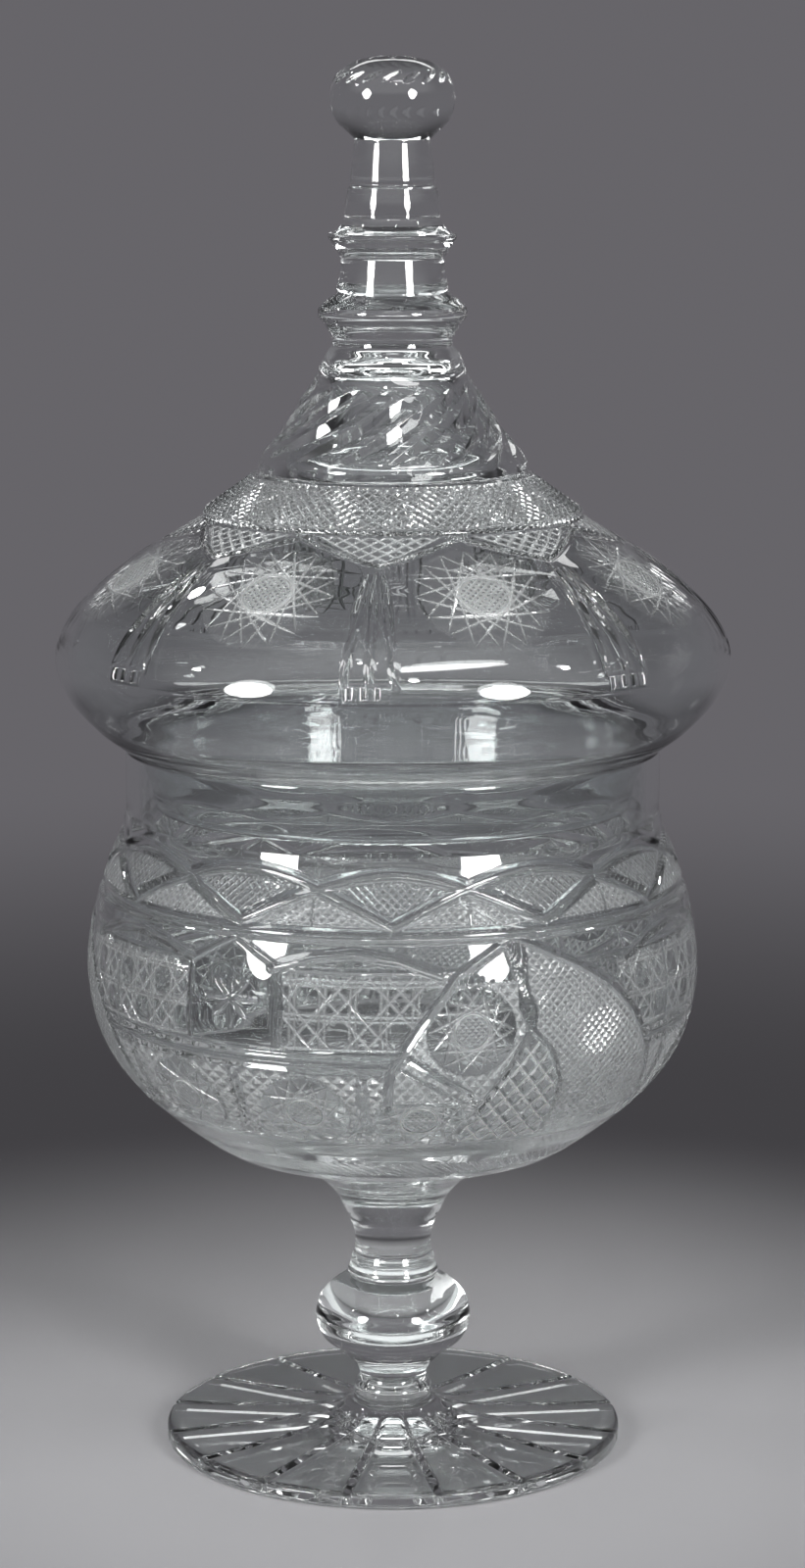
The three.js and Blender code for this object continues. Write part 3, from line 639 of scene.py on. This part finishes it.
# Raised band of fine diamonds under the steeple. Both ways of cuts run along the grid, and u = turn + v and
# w = turn - v count them: relief * |2 (u mod 1) - 1| is their depth. They end beside a seam at the back.
def makeBand(materials):
    low, topZ = dome["seamZ"] + seam, dome["topZ"] - seam
    steps, n, inner = band["steps"], band["columns"], innerWall(dome["inner"])
    side = [(r, low + up) for r, up in band["side"]]
    line = evenSteps([*side, band["end"]], band["pitch"] / steps)
    turn = ((np.arange(n)[None, :] + n / 2) % n - n / 2) / steps
    v = np.arange(len(line))[:, None] / steps
    u, w = turn + v, turn - v
    edge = np.clip(np.minimum(v, v[-1] - v) * band["rise"], 0, 1)
    edge = edge * (np.abs(turn) < n / steps / 2 - band["bare"])
    cut = band["relief"] * edge * np.maximum(np.abs(2 * (u % 1) - 1), np.abs(2 * (w % 1) - 1))
    work = np.stack([0 * u + 1, u, w, 0 * u + openHatch, band["depth"] * edge], -1)
    above = inner[inner[:, 1] > low + band["innerLow"]][::-1]
    inside = evenSteps([(dome["mouth"], topZ), *above, (radiusAt(inner, low), low)], band["innerStep"])
    coneRadius = waist["cone"][0]
    parts = [turned(evenSteps([(r, low + up) for r, up in band["edge"]], band["edgeStep"]), n),
             turned(line, n, polished, cut, 0.0, work),
             turned([(band["topRadius"], topZ), (coneRadius, topZ)], band["inner"]),
             flatRing([coneRadius - band["jointGap"], dome["mouth"]], topZ, band["inner"]),
             turned(inside[1:], band["inner"])]
    return ringBody("cover_dome_band", parts, materials, fused, band["sharpAngle"])


# The dome as three closed belts: shell with flange, seat and plain bulge, crown with stars, and band.
def makeDome(materials):
    outer = np.vstack([smoothLine(dome["wall"][:-1], outerStep), dome["wall"][-1:]])
    crownZ, topSeam, n, step = dome["crownZ"], dome["seamZ"], dome["plainColumns"], dome["innerStep"]
    plain = cutFace(outer, outer[0, 1], dome["plainTop"], dome["plainStep"], n)
    slope = cutFace(outer, dome["slopeLow"], crownZ - seam, dome["slopeStep"], dome["lowColumns"])
    crown = cutFace(outer, crownZ + seam, topSeam - seam, dome["slopeStep"], dome["crownColumns"])
    cutDome(slope)
    cutDome(crown)
    roof = innerLine(dome["inner"], dome["roofLow"], crownZ - seam, step)
    parts = [turned(smoothLine(dome["flange"], dome["flangeStep"]), n),
             turned(evenSteps(dome["seat"], dome["seatStep"]), n), cutPart(plain), cutPart(slope),
             *jointed(roof, n), turned(evenSteps(dome["throat"], step), n)]
    inside = innerLine(dome["inner"], crownZ + seam, topSeam - seam, step)
    pieces = [ringBody("cover_dome_shell", parts, materials, polished),
              belt("cover_dome_crown", crown, inside, dome["crownInner"], materials), makeBand(materials)]
    for piece in pieces:
        dress(piece, "cover", "cover_dome")


# Angle of each column in degrees from the middle of its own bay, where repeats bays lie round the axis.
def bayTurn(columns, repeats):
    bay = 360 / repeats
    return (np.linspace(0, 360, columns, endpoint=False)[None, :] + bay / 2) % bay - bay / 2


cone = dict(
    outline=[(37.9, 285.4), (37.8, 287.2), (36.6, 289.6), (34.4, 292.3), (31.9, 295.2), (29.7, 298.2),
             (28, 301.2), (25.6, 305), (22.9, 309), (21.3, 312), (18.9, 317.2), (17, 319.7)],
    hollow=[(31, 284.1), (29.2, 287.6), (23.6, 295.4), (19.2, 303.6), (16.2, 309.6), (12.2, 312.6),
            (6.4, 313.8)],
    base=[(37.7, 284.562), (37.9, 285.4)], hollowEnd=(3, 314.1), hollowTop=314.2, topRings=(10, 3),
    step=0.42, baseStep=0.4, hollowStep=1.2, columns=768, innerColumns=192, endColumns=96,
    flutes=16, lowZ=289.2, highZ=308.6, twist=66, width=9.6, depth=1.6)


# Steeple. Its columns of points lean with the flutes, so that each ridge is one line of points. A flute is
# depth * (swell - 2|d| / width) deep, and the swell is half an ellipse from its low to its high end.
def makeCone(materials):
    (radius, low), high, n = waist["cone"], waist["coneTop"][1] - seam, cone["columns"]
    low += seam
    line = smoothLine(cone["outline"], cone["step"])
    line[-1, 1] = high
    t = np.clip((line[:, 1:] - cone["lowZ"]) / (cone["highZ"] - cone["lowZ"]), 0, 1)
    twist = np.radians(cone["twist"]) * t
    swell = np.sqrt(np.clip(1 - (2 * t - 1)**2, 0, 1))
    d = line[:, :1] * np.radians(bayTurn(n, cone["flutes"]))
    cut = cone["depth"] * np.clip(swell - 2 * np.abs(d) / cone["width"], 0, 1)
    hollow = smoothLine(cone["hollow"], cone["hollowStep"])
    hollow[0] = (dome["mouth"], low)
    parts = [pole(cone["hollowTop"], polished), turned([cone["hollowEnd"]], cone["endColumns"]),
             turned(hollow[::-1], cone["innerColumns"]),
             *jointed(evenSteps([(radius, low), *cone["base"]], cone["baseStep"]), n),
             turned(line[1:], n, polished, cut[1:], twist[1:]),
             flatRing(cone["topRings"], high, cone["endColumns"], twist[-1]), pole(high, fused)]
    dress(ringBody("cover_cone_fluted", parts, materials), "cover", "cover_cone")


# Turned pieces that are solid to the axis, each as body, low joint, high joint and stretches of outline. Each
# stretch is smoothed by itself, so that the corner between two stretches stays crisp.
turnedWork = dict(columns=144, discColumns=72, step=0.3, hub=3, ring=0.7, sharpAngle=24)
turnedPieces = dict(
    stem_ring=("jar", "foot", "ring", [
        [(11.1, 11.4), (11.5, 12.6), (11.5, 13.6), (11.3, 15), (10.3, 16.6), (9.7, 17.7)]]),
    stem_knop=("jar", "ring", "knop", [
        [(9.7, 17.8), (10, 19.3), (10.9, 21.2), (12.9, 23.3), (16.4, 26.7), (20.1, 29.4), (22.1, 32.5),
         (22.7, 35.8), (22.4, 38.4), (21.4, 41.3), (19.2, 44.2), (15.6, 46.9), (12.4, 48.3)]]),
    stem_collar=("jar", "knop", "collar", [
        [(12.2, 48.4), (13, 49.1), (13.2, 49.9), (12.8, 51)], [(12.7, 51.1), (12.3, 52.6), (12.1, 53.7)]]),
    stem_shank=("jar", "collar", "shank", [
        [(12.1, 53.8), (11.3, 56), (11.1, 59.2), (11.7, 63), (12.8, 66), (14.6, 69.6), (16.8, 73.8),
         (20.6, 77.8), (25.2, 81.2), (30.2, 84.6), (31, 86.3)]]),
    finial_lower_ring=("cover", "coneTop", "lowerRing", [
        [(17, 319.8), (16.9, 321), (17, 322)], [(17.1, 322.1), (17.9, 323.3), (19.4, 325.8), (20.6, 327.2)],
        [(20.7, 327.3), (21, 328.4), (21, 329.4), (20.7, 330.4)],
        [(20.6, 330.5), (18.2, 332.6), (16.1, 334)]]),
    finial_shaft=("cover", "lowerRing", "shaft", [
        [(16, 334.1), (15.5, 336.8), (14.9, 340), (14.4, 343.7)]]),
    finial_upper_ring=("cover", "shaft", "upperRing", [
        [(14.4, 343.8), (14.9, 344.6)], [(15, 344.7), (16.2, 346.8), (17.4, 348.7)],
        [(17.5, 348.8), (18, 349.5), (18.1, 350.2), (17.8, 350.7)],
        [(17.7, 350.8), (16, 351.7), (14.2, 353.1)]]),
    finial_neck=("cover", "upperRing", "neck", [
        [(14.2, 353.2), (13.9, 354), (13.4, 355.2)], [(13.3, 355.3), (13.2, 359.4), (12.5, 363.4)],
        [(12.4, 363.5), (11.8, 364.1), (11.7, 364.7), (11.9, 365.3)],
        [(11.9, 365.4), (11.4, 370.6), (10.7, 376.1)], [(10.65, 376.2), (10.6, 376.7)]]))


# A turned piece: its smoothed stretches as rings round the axis, with a flat disc at each joint.
def makeTurned(name, materials):
    body, lowJoint, highJoint, stretches = turnedPieces[name]
    hub, share, n = turnedWork["hub"], turnedWork["ring"], turnedWork["discColumns"]
    (rLow, zLow), (rHigh, zHigh) = waist[lowJoint], waist[highJoint]
    zLow, zHigh = zLow + seam, zHigh - seam
    line = np.vstack([smoothLine(part, turnedWork["step"]) for part in stretches])
    line[0], line[-1] = (rLow, zLow), (rHigh, zHigh)
    parts = [pole(zLow, fused), flatRing([hub, rLow * share], zLow, n), *jointed(line, turnedWork["columns"]),
             flatRing([rHigh * share, hub], zHigh, n), pole(zHigh, fused)]
    piece = ringBody(name + "_turned", parts, materials, sharpAngle=turnedWork["sharpAngle"])
    dress(piece, body, name)


# Knob: slanting leaf cuts round the shoulder and an eight-rayed star on top.
knob = dict(
    outline=[(10.6, 376.8), (12.4, 378.6), (15, 380.9), (16.7, 383.6), (17.4, 387), (17.3, 390.4),
             (16.2, 393.6), (13.8, 396.3), (9.6, 398.6), (4.6, 399.6), (1.2, 399.8)],
    step=0.3, columns=576, top=399.8, jointRings=(3, 7), jointColumns=72, lowColumns=144,
    cuts=18, cutZ=394.2, cutLength=6.6, lean=34, width=2.3, depth=0.95,
    rays=8, rayIn=1.0, rayOut=9.0, rayLow=396, rayWidth=2.4, rayDepth=0.9)


# The knob's cuts are mitres: the slanting ones in flat coordinates about each cut's middle, the rays in the
# view from above, with x = r cos(a) along the ray and y = r sin(a) across it.
def makeKnob(materials):
    radius, low = waist["neck"]
    low += seam
    line = smoothLine(knob["outline"], knob["step"])
    line[0] = (radius, low)
    s, r = lengthAlong(line)[:, None], line[:, :1]
    y = s - np.interp(knob["cutZ"], line[:, 1], s[:, 0])
    lean, half = math.radians(knob["lean"]), knob["cutLength"] / 2
    ends = [(side * math.cos(lean), side * math.sin(lean)) for side in (-half, half)]
    bay, turn, cut = 360 / knob["cuts"], bayTurn(knob["columns"], knob["cuts"]), 0
    for shift in (-bay, 0, bay):
        cut = np.maximum(cut, mitre(r * np.radians(turn + shift), y, *ends, knob["width"], knob["depth"]))
    a = np.radians(bayTurn(knob["columns"], knob["rays"]))
    ends = [(knob["rayIn"], 0), (knob["rayOut"], 0)]
    rays = mitre(r * np.cos(a), r * np.sin(a), *ends, knob["rayWidth"], knob["rayDepth"])
    cut = np.maximum(cut, rays * (line[:, 1:] > knob["rayLow"]))
    parts = [pole(low, fused), flatRing(knob["jointRings"], low, knob["jointColumns"]),
             turned(line[:1], knob["lowColumns"], fused),
             turned(line[1:], knob["columns"], polished, cut[1:]), pole(knob["top"], polished)]
    dress(ringBody("finial_knob_cut", parts, materials), "cover", "finial_knob")


foot = dict(
    edge=[(65.7, 0), (66.3, 0.3), (66.5, 0.9), (66.5, 3.2), (66.3, 3.8), (65.6, 4.1)],
    top=[(65.5, 4.12), (60, 4.3), (50, 4.75), (42, 5.2), (32, 5.9), (22, 6.9), (17, 7.9), (14, 9.1),
         (12, 10.4), (11.1, 11.3)],
    under=[(12, 0.2), (40, 0.08), (60, 0.0)], underMiddle=0.25, edgeStep=0.35, topStep=0.9, jointRings=(7, 3),
    lowColumns=80, topLow=4.0, cuts=16, perCut=40, nearShare=0.3, reachShare=0.85, width=2.7, depth=1.05,
    innerRadius=14.0, fadeLength=5, fadeLow=0.9, fadeRise=1.8)


# Foot. Its columns of points close up beside each radial mitre, so that both edges and the valley are lines
# of points. The cut is depth * fade * (1 - |angle| / reach): it sinks the top, and moves the edge inwards.
def makeFoot(materials):
    high = waist["foot"][1] - seam
    top = smoothLine(foot["top"], foot["topStep"])
    top[-1] = (waist["foot"][0], high)
    line = np.vstack([smoothLine(foot["edge"], foot["edgeStep"]), top])
    r, z = line[:, :1], line[:, 1:]
    n, near, bay = foot["perCut"], foot["nearShare"], 180 / foot["cuts"]
    columns = n * foot["cuts"]
    reach = np.minimum(np.degrees(foot["width"] / 2 / r), bay * foot["reachShare"])
    u = (np.arange(n)[None, :] - n / 2) / (n / 2)
    outside = np.sign(u) * (reach + (np.abs(u) - near) / (1 - near) * (bay - reach))
    b = np.tile(np.where(np.abs(u) < near, u / near * reach, outside), (1, foot["cuts"]))
    angle = np.radians(b + bay + np.repeat(np.arange(foot["cuts"]), n)[None, :] * 2 * bay)
    fade = np.clip((r - foot["innerRadius"]) / foot["fadeLength"], 0, 1)
    fade = fade * fade * (3 - 2 * fade) * np.clip((z - foot["fadeLow"]) / foot["fadeRise"], 0, 1)
    cut = foot["depth"] * fade * np.clip(1 - np.abs(b) / reach, 0, 1)
    edgeCut = cut * (z <= foot["topLow"])
    twist = angle - np.linspace(0, 2 * np.pi, columns, endpoint=False)
    disc = turned(line, columns, polished, edgeCut, twist)
    disc[0][..., 2] -= cut - edgeCut
    parts = [pole(foot["underMiddle"], polished), turned(foot["under"], foot["lowColumns"]), disc,
             flatRing(foot["jointRings"], high, foot["lowColumns"]), pole(high, fused)]
    dress(ringBody("foot_rayed", parts, materials), "jar", "foot")


# Lead crystal. Polished faces are clear, with the slight waves of hand work. The wheel leaves a trace in its
# cuts: they are rougher and scatter some of the light. The dome's finer cuts show more of it.
index = 1.54
polishedGlass = dict(colour=(0.97, 0.992, 0.989), clear=1.0, rough=0.004, waves=0.03, waveSize=38)
cutGlass = dict(colour=(0.962, 0.989, 0.985), clear=0.985, rough=0.012, waves=0.004, waveSize=700,
                buttonRough=0.12, cutRough=0.3, cutFrost=0.22)
domeGlass = dict(cutGlass, buttonRough=0.2, cutRough=0.42, cutFrost=0.42)
grain = dict(detail=1.5, least=0.6, most=1.4)  # the noise, and how far it takes the roughness down and up


# Links or sets the named inputs of a node.
def fill(tree, node, inputs):
    for name, value in inputs.items():
        if isinstance(value, bpy.types.NodeSocket):
            tree.links.new(value, node.inputs[name])
        else:
            node.inputs[name].default_value = value


# A shader node with its settings and inputs.
def addNode(tree, kind, inputs, **settings):
    node = tree.nodes.new("ShaderNode" + kind)
    for name, value in settings.items():
        setattr(node, name, value)
    fill(tree, node, inputs)
    return node


# A maker of Math nodes in a tree, on numbers and sockets.
def mathIn(tree):
    def do(kind, *values, clamp=False):
        return addNode(tree, "Math", dict(enumerate(values)), operation=kind, use_clamp=clamp).outputs[0]
    return do


# A smooth ramp from 0 to 1 as a value goes from start to end.
def ramp(tree, value, start, end):
    inputs = {"Value": value, "From Min": start, "From Max": end}
    return addNode(tree, "MapRange", inputs, interpolation_type="SMOOTHSTEP").outputs["Result"]


# Mix of two colours by a factor.
def mixColours(tree, factor, a, b):
    return addNode(tree, "Mix", {"Factor": factor, "A": a, "B": b}, data_type="RGBA").outputs["Result"]


# How deep a V cut is at the least of some distances from its lines, from 0 to 1: full - 2 d / width.
def vDepth(do, distances, width, full=1.0):
    nearest = distances[0]
    for d in distances[1:]:
        nearest = do("MINIMUM", nearest, d)
    return do("MULTIPLY_ADD", nearest, -2 / width, full, clamp=True)


# Caned ground: pairs of V cuts upright, level and both ways aslant leave clear eight-sided buttons. The
# distance to a pair is | pingpong(way, step / 2) - half |: pingpong is the distance to the nearest step.
def caneDepth(do, u, v):
    stepX, stepY = cane["stepX"], cane["stepY"]
    c = math.hypot(stepX, stepY)
    a, b = do("MULTIPLY", u, stepY / c), do("MULTIPLY", v, stepX / c)
    ways = [(do(kind, a, b), 2 * stepX * stepY / c, cane["slantHalf"]) for kind in ("ADD", "SUBTRACT")]
    ways += [(u, stepX, cane["uprightHalf"]), (v, stepY, cane["levelHalf"])]
    distances = [do("ABSOLUTE", do("SUBTRACT", do("PINGPONG", way, step / 2), half))
                 for way, step, half in ways]
    return vDepth(do, distances, cane["width"])


# Crossing cuts, one unit apart along u and v, whose distance is pingpong(u or v, unit / 2).
def hatchDepth(do, u, v, width, unit=1.0):
    return vDepth(do, [do("PINGPONG", way, unit / 2) for way in (u, v)], width)


# Hobstar: chords of a circle from each point to the one skip points on, a ring round the button that they
# leave, and a hatched button. The angle is folded at the points, so only the chords near 0 to 180 / points
# count, each at | x cos(f) + y sin(f) - d0 | with d0 = R cos(180 skip / points). A chord is as deep as
# sqrt((R^2 - r^2) / (R^2 - d0^2)). Returns the depth and where the button is.
def starDepth(do, u, v, shape, margin=0.01, least=0.04):
    n, radius, middle = shape["points"], shape["radius"], shape["button"]
    d0 = radius * math.cos(math.pi * shape["skip"] / n)
    reach, widest = radius**2 - d0**2, math.acos(d0 / radius) + margin
    squared = do("MULTIPLY_ADD", u, u, do("MULTIPLY", v, v))
    away, fold = do("SQRT", squared), do("PINGPONG", do("ARCTAN2", v, u), math.pi / n)
    x, y = (do("MULTIPLY", away, do(kind, fold)) for kind in ("COSINE", "SINE"))
    angles = [(k + shape["skip"] / 2) * 2 * math.pi / n for k in range(-n, n)]
    angles = [f for f in angles if -widest <= f <= widest + math.pi / n]
    distances = [do("ABSOLUTE", do("MULTIPLY_ADD", x, math.cos(f), do("MULTIPLY_ADD", y, math.sin(f), -d0)))
                 for f in angles]
    share = do("MULTIPLY_ADD", squared, -1 / reach, radius**2 / reach)
    chords = vDepth(do, distances, shape["width"], do("SQRT", do("MAXIMUM", share, least)))
    unit = shape["pitch"] * math.sqrt(2)
    hatch = hatchDepth(do, do("ADD", u, v), do("SUBTRACT", u, v), unit, unit)
    button = do("MULTIPLY", hatch, shape["buttonDepth"] / shape["depth"])
    inside = do("LESS_THAN", away, middle)
    both = do("MULTIPLY_ADD", button, inside, do("MULTIPLY", chords, do("SUBTRACT", 1.0, inside)))
    ring = vDepth(do, [do("ABSOLUTE", do("SUBTRACT", away, middle))], shape["width"])
    return do("MAXIMUM", ring, both), inside


# Depth of a piece's own wheel patterns in millimetres, the same cut off at 1, and where a star's button is.
# Attribute "pattern" holds the flat coordinates and the number, and "patternDepth" the depth of a full cut.
def wheelWork(tree, shape, openWidth=0.5, fullWidth=1.0, slack=0.45):
    do = mathIn(tree)
    place = addNode(tree, "Attribute", {}, attribute_name="pattern").outputs["Vector"]
    deep = addNode(tree, "Attribute", {}, attribute_name="patternDepth").outputs["Fac"]
    u, v, number = addNode(tree, "SeparateXYZ", {"Vector": place}).outputs
    starCut, button = starDepth(do, u, v, shape)
    cuts = {caning: caneDepth(do, u, v), hobstar: starCut, openHatch: hatchDepth(do, u, v, openWidth),
            fullHatch: hatchDepth(do, u, v, fullWidth)}
    here = {own: do("COMPARE", number, float(own), slack) for own in cuts}
    total = 0.0
    for own, cut in cuts.items():
        total = do("MULTIPLY_ADD", cut, here[own], total)
    depths = (do("MULTIPLY", total, deep, clamp=limit) for limit in (False, True))
    return (*depths, do("MULTIPLY", button, here[hobstar]))


# A new material, its nodes and its Principled shader.
def newMaterial(name):
    material = bpy.data.materials.new(name)
    material.use_nodes = True
    return material, material.node_tree, material.node_tree.nodes["Principled BSDF"]


# Glass whose surface a soft noise in Object coordinates tips a little. With a star's shape, the wheel
# patterns of the piece are cut into the same height, noise * waves - depth, and are rougher than the rest.
def glassFinish(name, finish, shape=None):
    material, tree, shader = newMaterial(name)
    do = mathIn(tree)
    place = addNode(tree, "TexCoord", {}).outputs["Object"]
    inputs = {"Vector": place, "Scale": finish["waveSize"], "Detail": grain["detail"]}
    noise = addNode(tree, "TexNoise", inputs).outputs["Fac"]
    least, most = finish["rough"] * grain["least"], finish["rough"] * grain["most"]
    rough = addNode(tree, "MapRange", {"Value": noise, "To Min": least, "To Max": most}).outputs["Result"]
    height, clear = do("MULTIPLY", noise, finish["waves"]), finish["clear"]
    if shape is not None:
        depth, inCut, button = wheelWork(tree, shape)
        height = do("SUBTRACT", height, depth)
        rough = do("MULTIPLY_ADD", button, finish["buttonRough"], rough)
        rough = do("MULTIPLY_ADD", inCut, finish["cutRough"], rough)
        clear = do("MULTIPLY_ADD", inCut, -finish["cutFrost"], clear)
    bump = addNode(tree, "Bump", {"Distance": mm, "Height": height}).outputs["Normal"]
    fill(tree, shader, {"Base Color": (*finish["colour"], 1), "IOR": index, "Transmission Weight": clear,
                        "Roughness": rough, "Normal": bump})
    return material


# Fused joint between two gathers: glass meets glass, so light goes straight on.
def fusedJoint():
    material, tree, shader = newMaterial("fused_joint")
    fill(tree, shader, {"Base Color": (1, 1, 1, 1), "IOR": 1.0, "Transmission Weight": 1.0, "Roughness": 0.0})
    return material


plainGlass = [glassFinish("polished_crystal", polishedGlass), fusedJoint()]
makeFoot(plainGlass)
for name in turnedPieces:
    makeTurned(name, plainGlass)
print("stem and finial done")
makeBowl([*plainGlass, glassFinish("cut_crystal_bowl", cutGlass, star)])
print("bowl done")
makeDome([*plainGlass, glassFinish("cut_crystal_dome", domeGlass, domeStar)])
makeCone(plainGlass)
makeKnob(plainGlass)
print("cover done")

# Studio: a floor that is pale round the object, with a painted dusk beyond it, a dim room, and soft lamps,
# each as name, degrees round from the front, degrees up, distance, width, height and watts. The sparks are
# six small lamps with the same size and power.
studio = dict(
    floorSize=6.0, floorZ=-0.0002, floorColour=(0.28, 0.276, 0.285), floorRough=0.8, floorGloss=0.2,
    # The dusk colour is painted shade: the floor glows with it round its pale part.
    floorEdge=(0.085, 0.36), paintedDusk=(0.055, 0.053, 0.058), paintedDuskEnds=(0.4, 1.1), backdrop=(0.135, 0.13, 0.142),
    room=(0.93, 0.965, 0.97), darkness=(0.02, 0.02, 0.021), lean=-0.55, riseEnds=(0.08, 0.40),
    frontEnds=(0.2, -0.5), aimZ=0.2,
    lamps=[("soft_box_left", -48, 16, 1.40, 0.40, 0.62, 17.0),
           ("soft_box_right", 37, 16, 1.40, 0.40, 0.62, 17.0),
           ("high_light", 24, 52, 1.50, 0.90, 0.16, 4.0), ("back_light", 180, 45, 1.55, 1.30, 0.22, 2.8)],
    sparks=[(-75, 33), (-14, 58), (8, 40), (68, 38), (128, 48), (-132, 46)], spark=(1.5, 0.08, 0.08, 1.3))


# Floor: a square whose pale part, lit by the lamps, ends round the object in a painted dusk. There the floor
# glows with a dark colour that stands in for shade, and far off the glow rises into the backdrop's colour.
# Both ramps are on the distance from the object.
def makeFloor():
    size, z = studio["floorSize"], studio["floorZ"]
    mesh = bpy.data.meshes.new("floor")
    corners = [(x * size, y * size, z) for x, y in ((-1, -1), (1, -1), (1, 1), (-1, 1))]
    mesh.from_pydata(corners, [], [(0, 1, 2, 3)])
    material, tree, shader = newMaterial("pale_floor_painted_dusk")
    fill(tree, shader, {"Base Color": (*studio["floorColour"], 1), "Roughness": studio["floorRough"],
                        "Specular IOR Level": studio["floorGloss"]})
    place = addNode(tree, "TexCoord", {}).outputs["Object"]
    far = addNode(tree, "VectorMath", {0: place}, operation="LENGTH").outputs["Value"]
    rise, edge = (ramp(tree, far, *studio[ends]) for ends in ("paintedDuskEnds", "floorEdge"))
    # Painted dusk: the glow is dark beyond the pale part and rises to the backdrop's colour far off. The glow
    # takes no shadows.
    tone = mixColours(tree, rise, (*studio["paintedDusk"], 1), (*studio["backdrop"], 1))
    glow = addNode(tree, "Emission", {"Color": tone}).outputs["Emission"]
    surface = addNode(tree, "MixShader", {0: edge, 1: shader.outputs["BSDF"], 2: glow}).outputs["Shader"]
    fill(tree, tree.nodes["Material Output"], {"Surface": surface})
    mesh.materials.append(material)
    floor = addObject("floor", mesh)


# World: the backdrop's colour low down; higher up a light room in front of the object and darkness behind
# it. The ramp upwards is on z * (1 - 0.55 y), the one from behind to the front is on -y.
def makeWorld():
    world = bpy.data.worlds.new("studio")
    bpy.context.scene.world = world
    world.use_nodes = True
    tree = world.node_tree
    do = mathIn(tree)
    way = addNode(tree, "TexCoord", {}).outputs["Generated"]
    x, y, z = addNode(tree, "SeparateXYZ", {"Vector": way}).outputs
    rise = ramp(tree, do("MULTIPLY", do("MULTIPLY_ADD", y, studio["lean"], 1.0), z), *studio["riseEnds"])
    front = ramp(tree, y, *studio["frontEnds"])
    high = mixColours(tree, front, (*studio["darkness"], 1), (*studio["room"], 1))
    tone = mixColours(tree, rise, (*studio["backdrop"], 1), high)
    fill(tree, tree.nodes["Background"], {"Color": tone})


# A soft lamp that looks at the object's middle: x = away cos(b) sin(a), y = -away cos(b) cos(a), and away
# sin(b) above the middle, for the angle a round and the angle b up.
def makeLamp(name, turn, rise, away, wide, tall, power):
    a, b = math.radians(turn), math.radians(rise)
    lamp = bpy.data.lights.new(name, "AREA")
    lamp.shape = "ELLIPSE"
    lamp.size, lamp.size_y, lamp.energy = wide, tall, power
    holder = addObject(name, lamp)
    flat = away * math.cos(b)
    holder.location = (flat * math.sin(a), -flat * math.cos(a), studio["aimZ"] + away * math.sin(b))
    holder.rotation_euler = (math.pi / 2 - b, 0, a)
    holder.visible_camera = False


makeFloor()
makeWorld()
for lamp in studio["lamps"]:
    makeLamp(*lamp)
for number, (turn, rise) in enumerate(studio["sparks"], 1):
    makeLamp(f"spark_{number}", turn, rise, *studio["spark"])

# Camera at the photograph's place: 1.118 m in front, 0.396 m up, 10.2 degrees down.
view = dict(place=(0.0028, -1.118, 0.3958), down=10.229, focal=4037.9, height=1600, sensor=36)
eye = bpy.data.cameras.new("camera")
eye.sensor_fit = "VERTICAL"
eye.sensor_height = view["sensor"]
eye.lens = view["focal"] / view["height"] * view["sensor"]
camera = addObject("camera", eye)
camera.location = view["place"]
camera.rotation_euler = (math.radians(90 - view["down"]), 0, 0)

scene = bpy.context.scene
scene.camera = camera
scene.view_settings.view_transform = "Standard"
scene.cycles.max_bounces = 40
scene.cycles.transmission_bounces = 40
scene.cycles.glossy_bounces = 12
scene.cycles.transparent_max_bounces = 24
print("studio done")
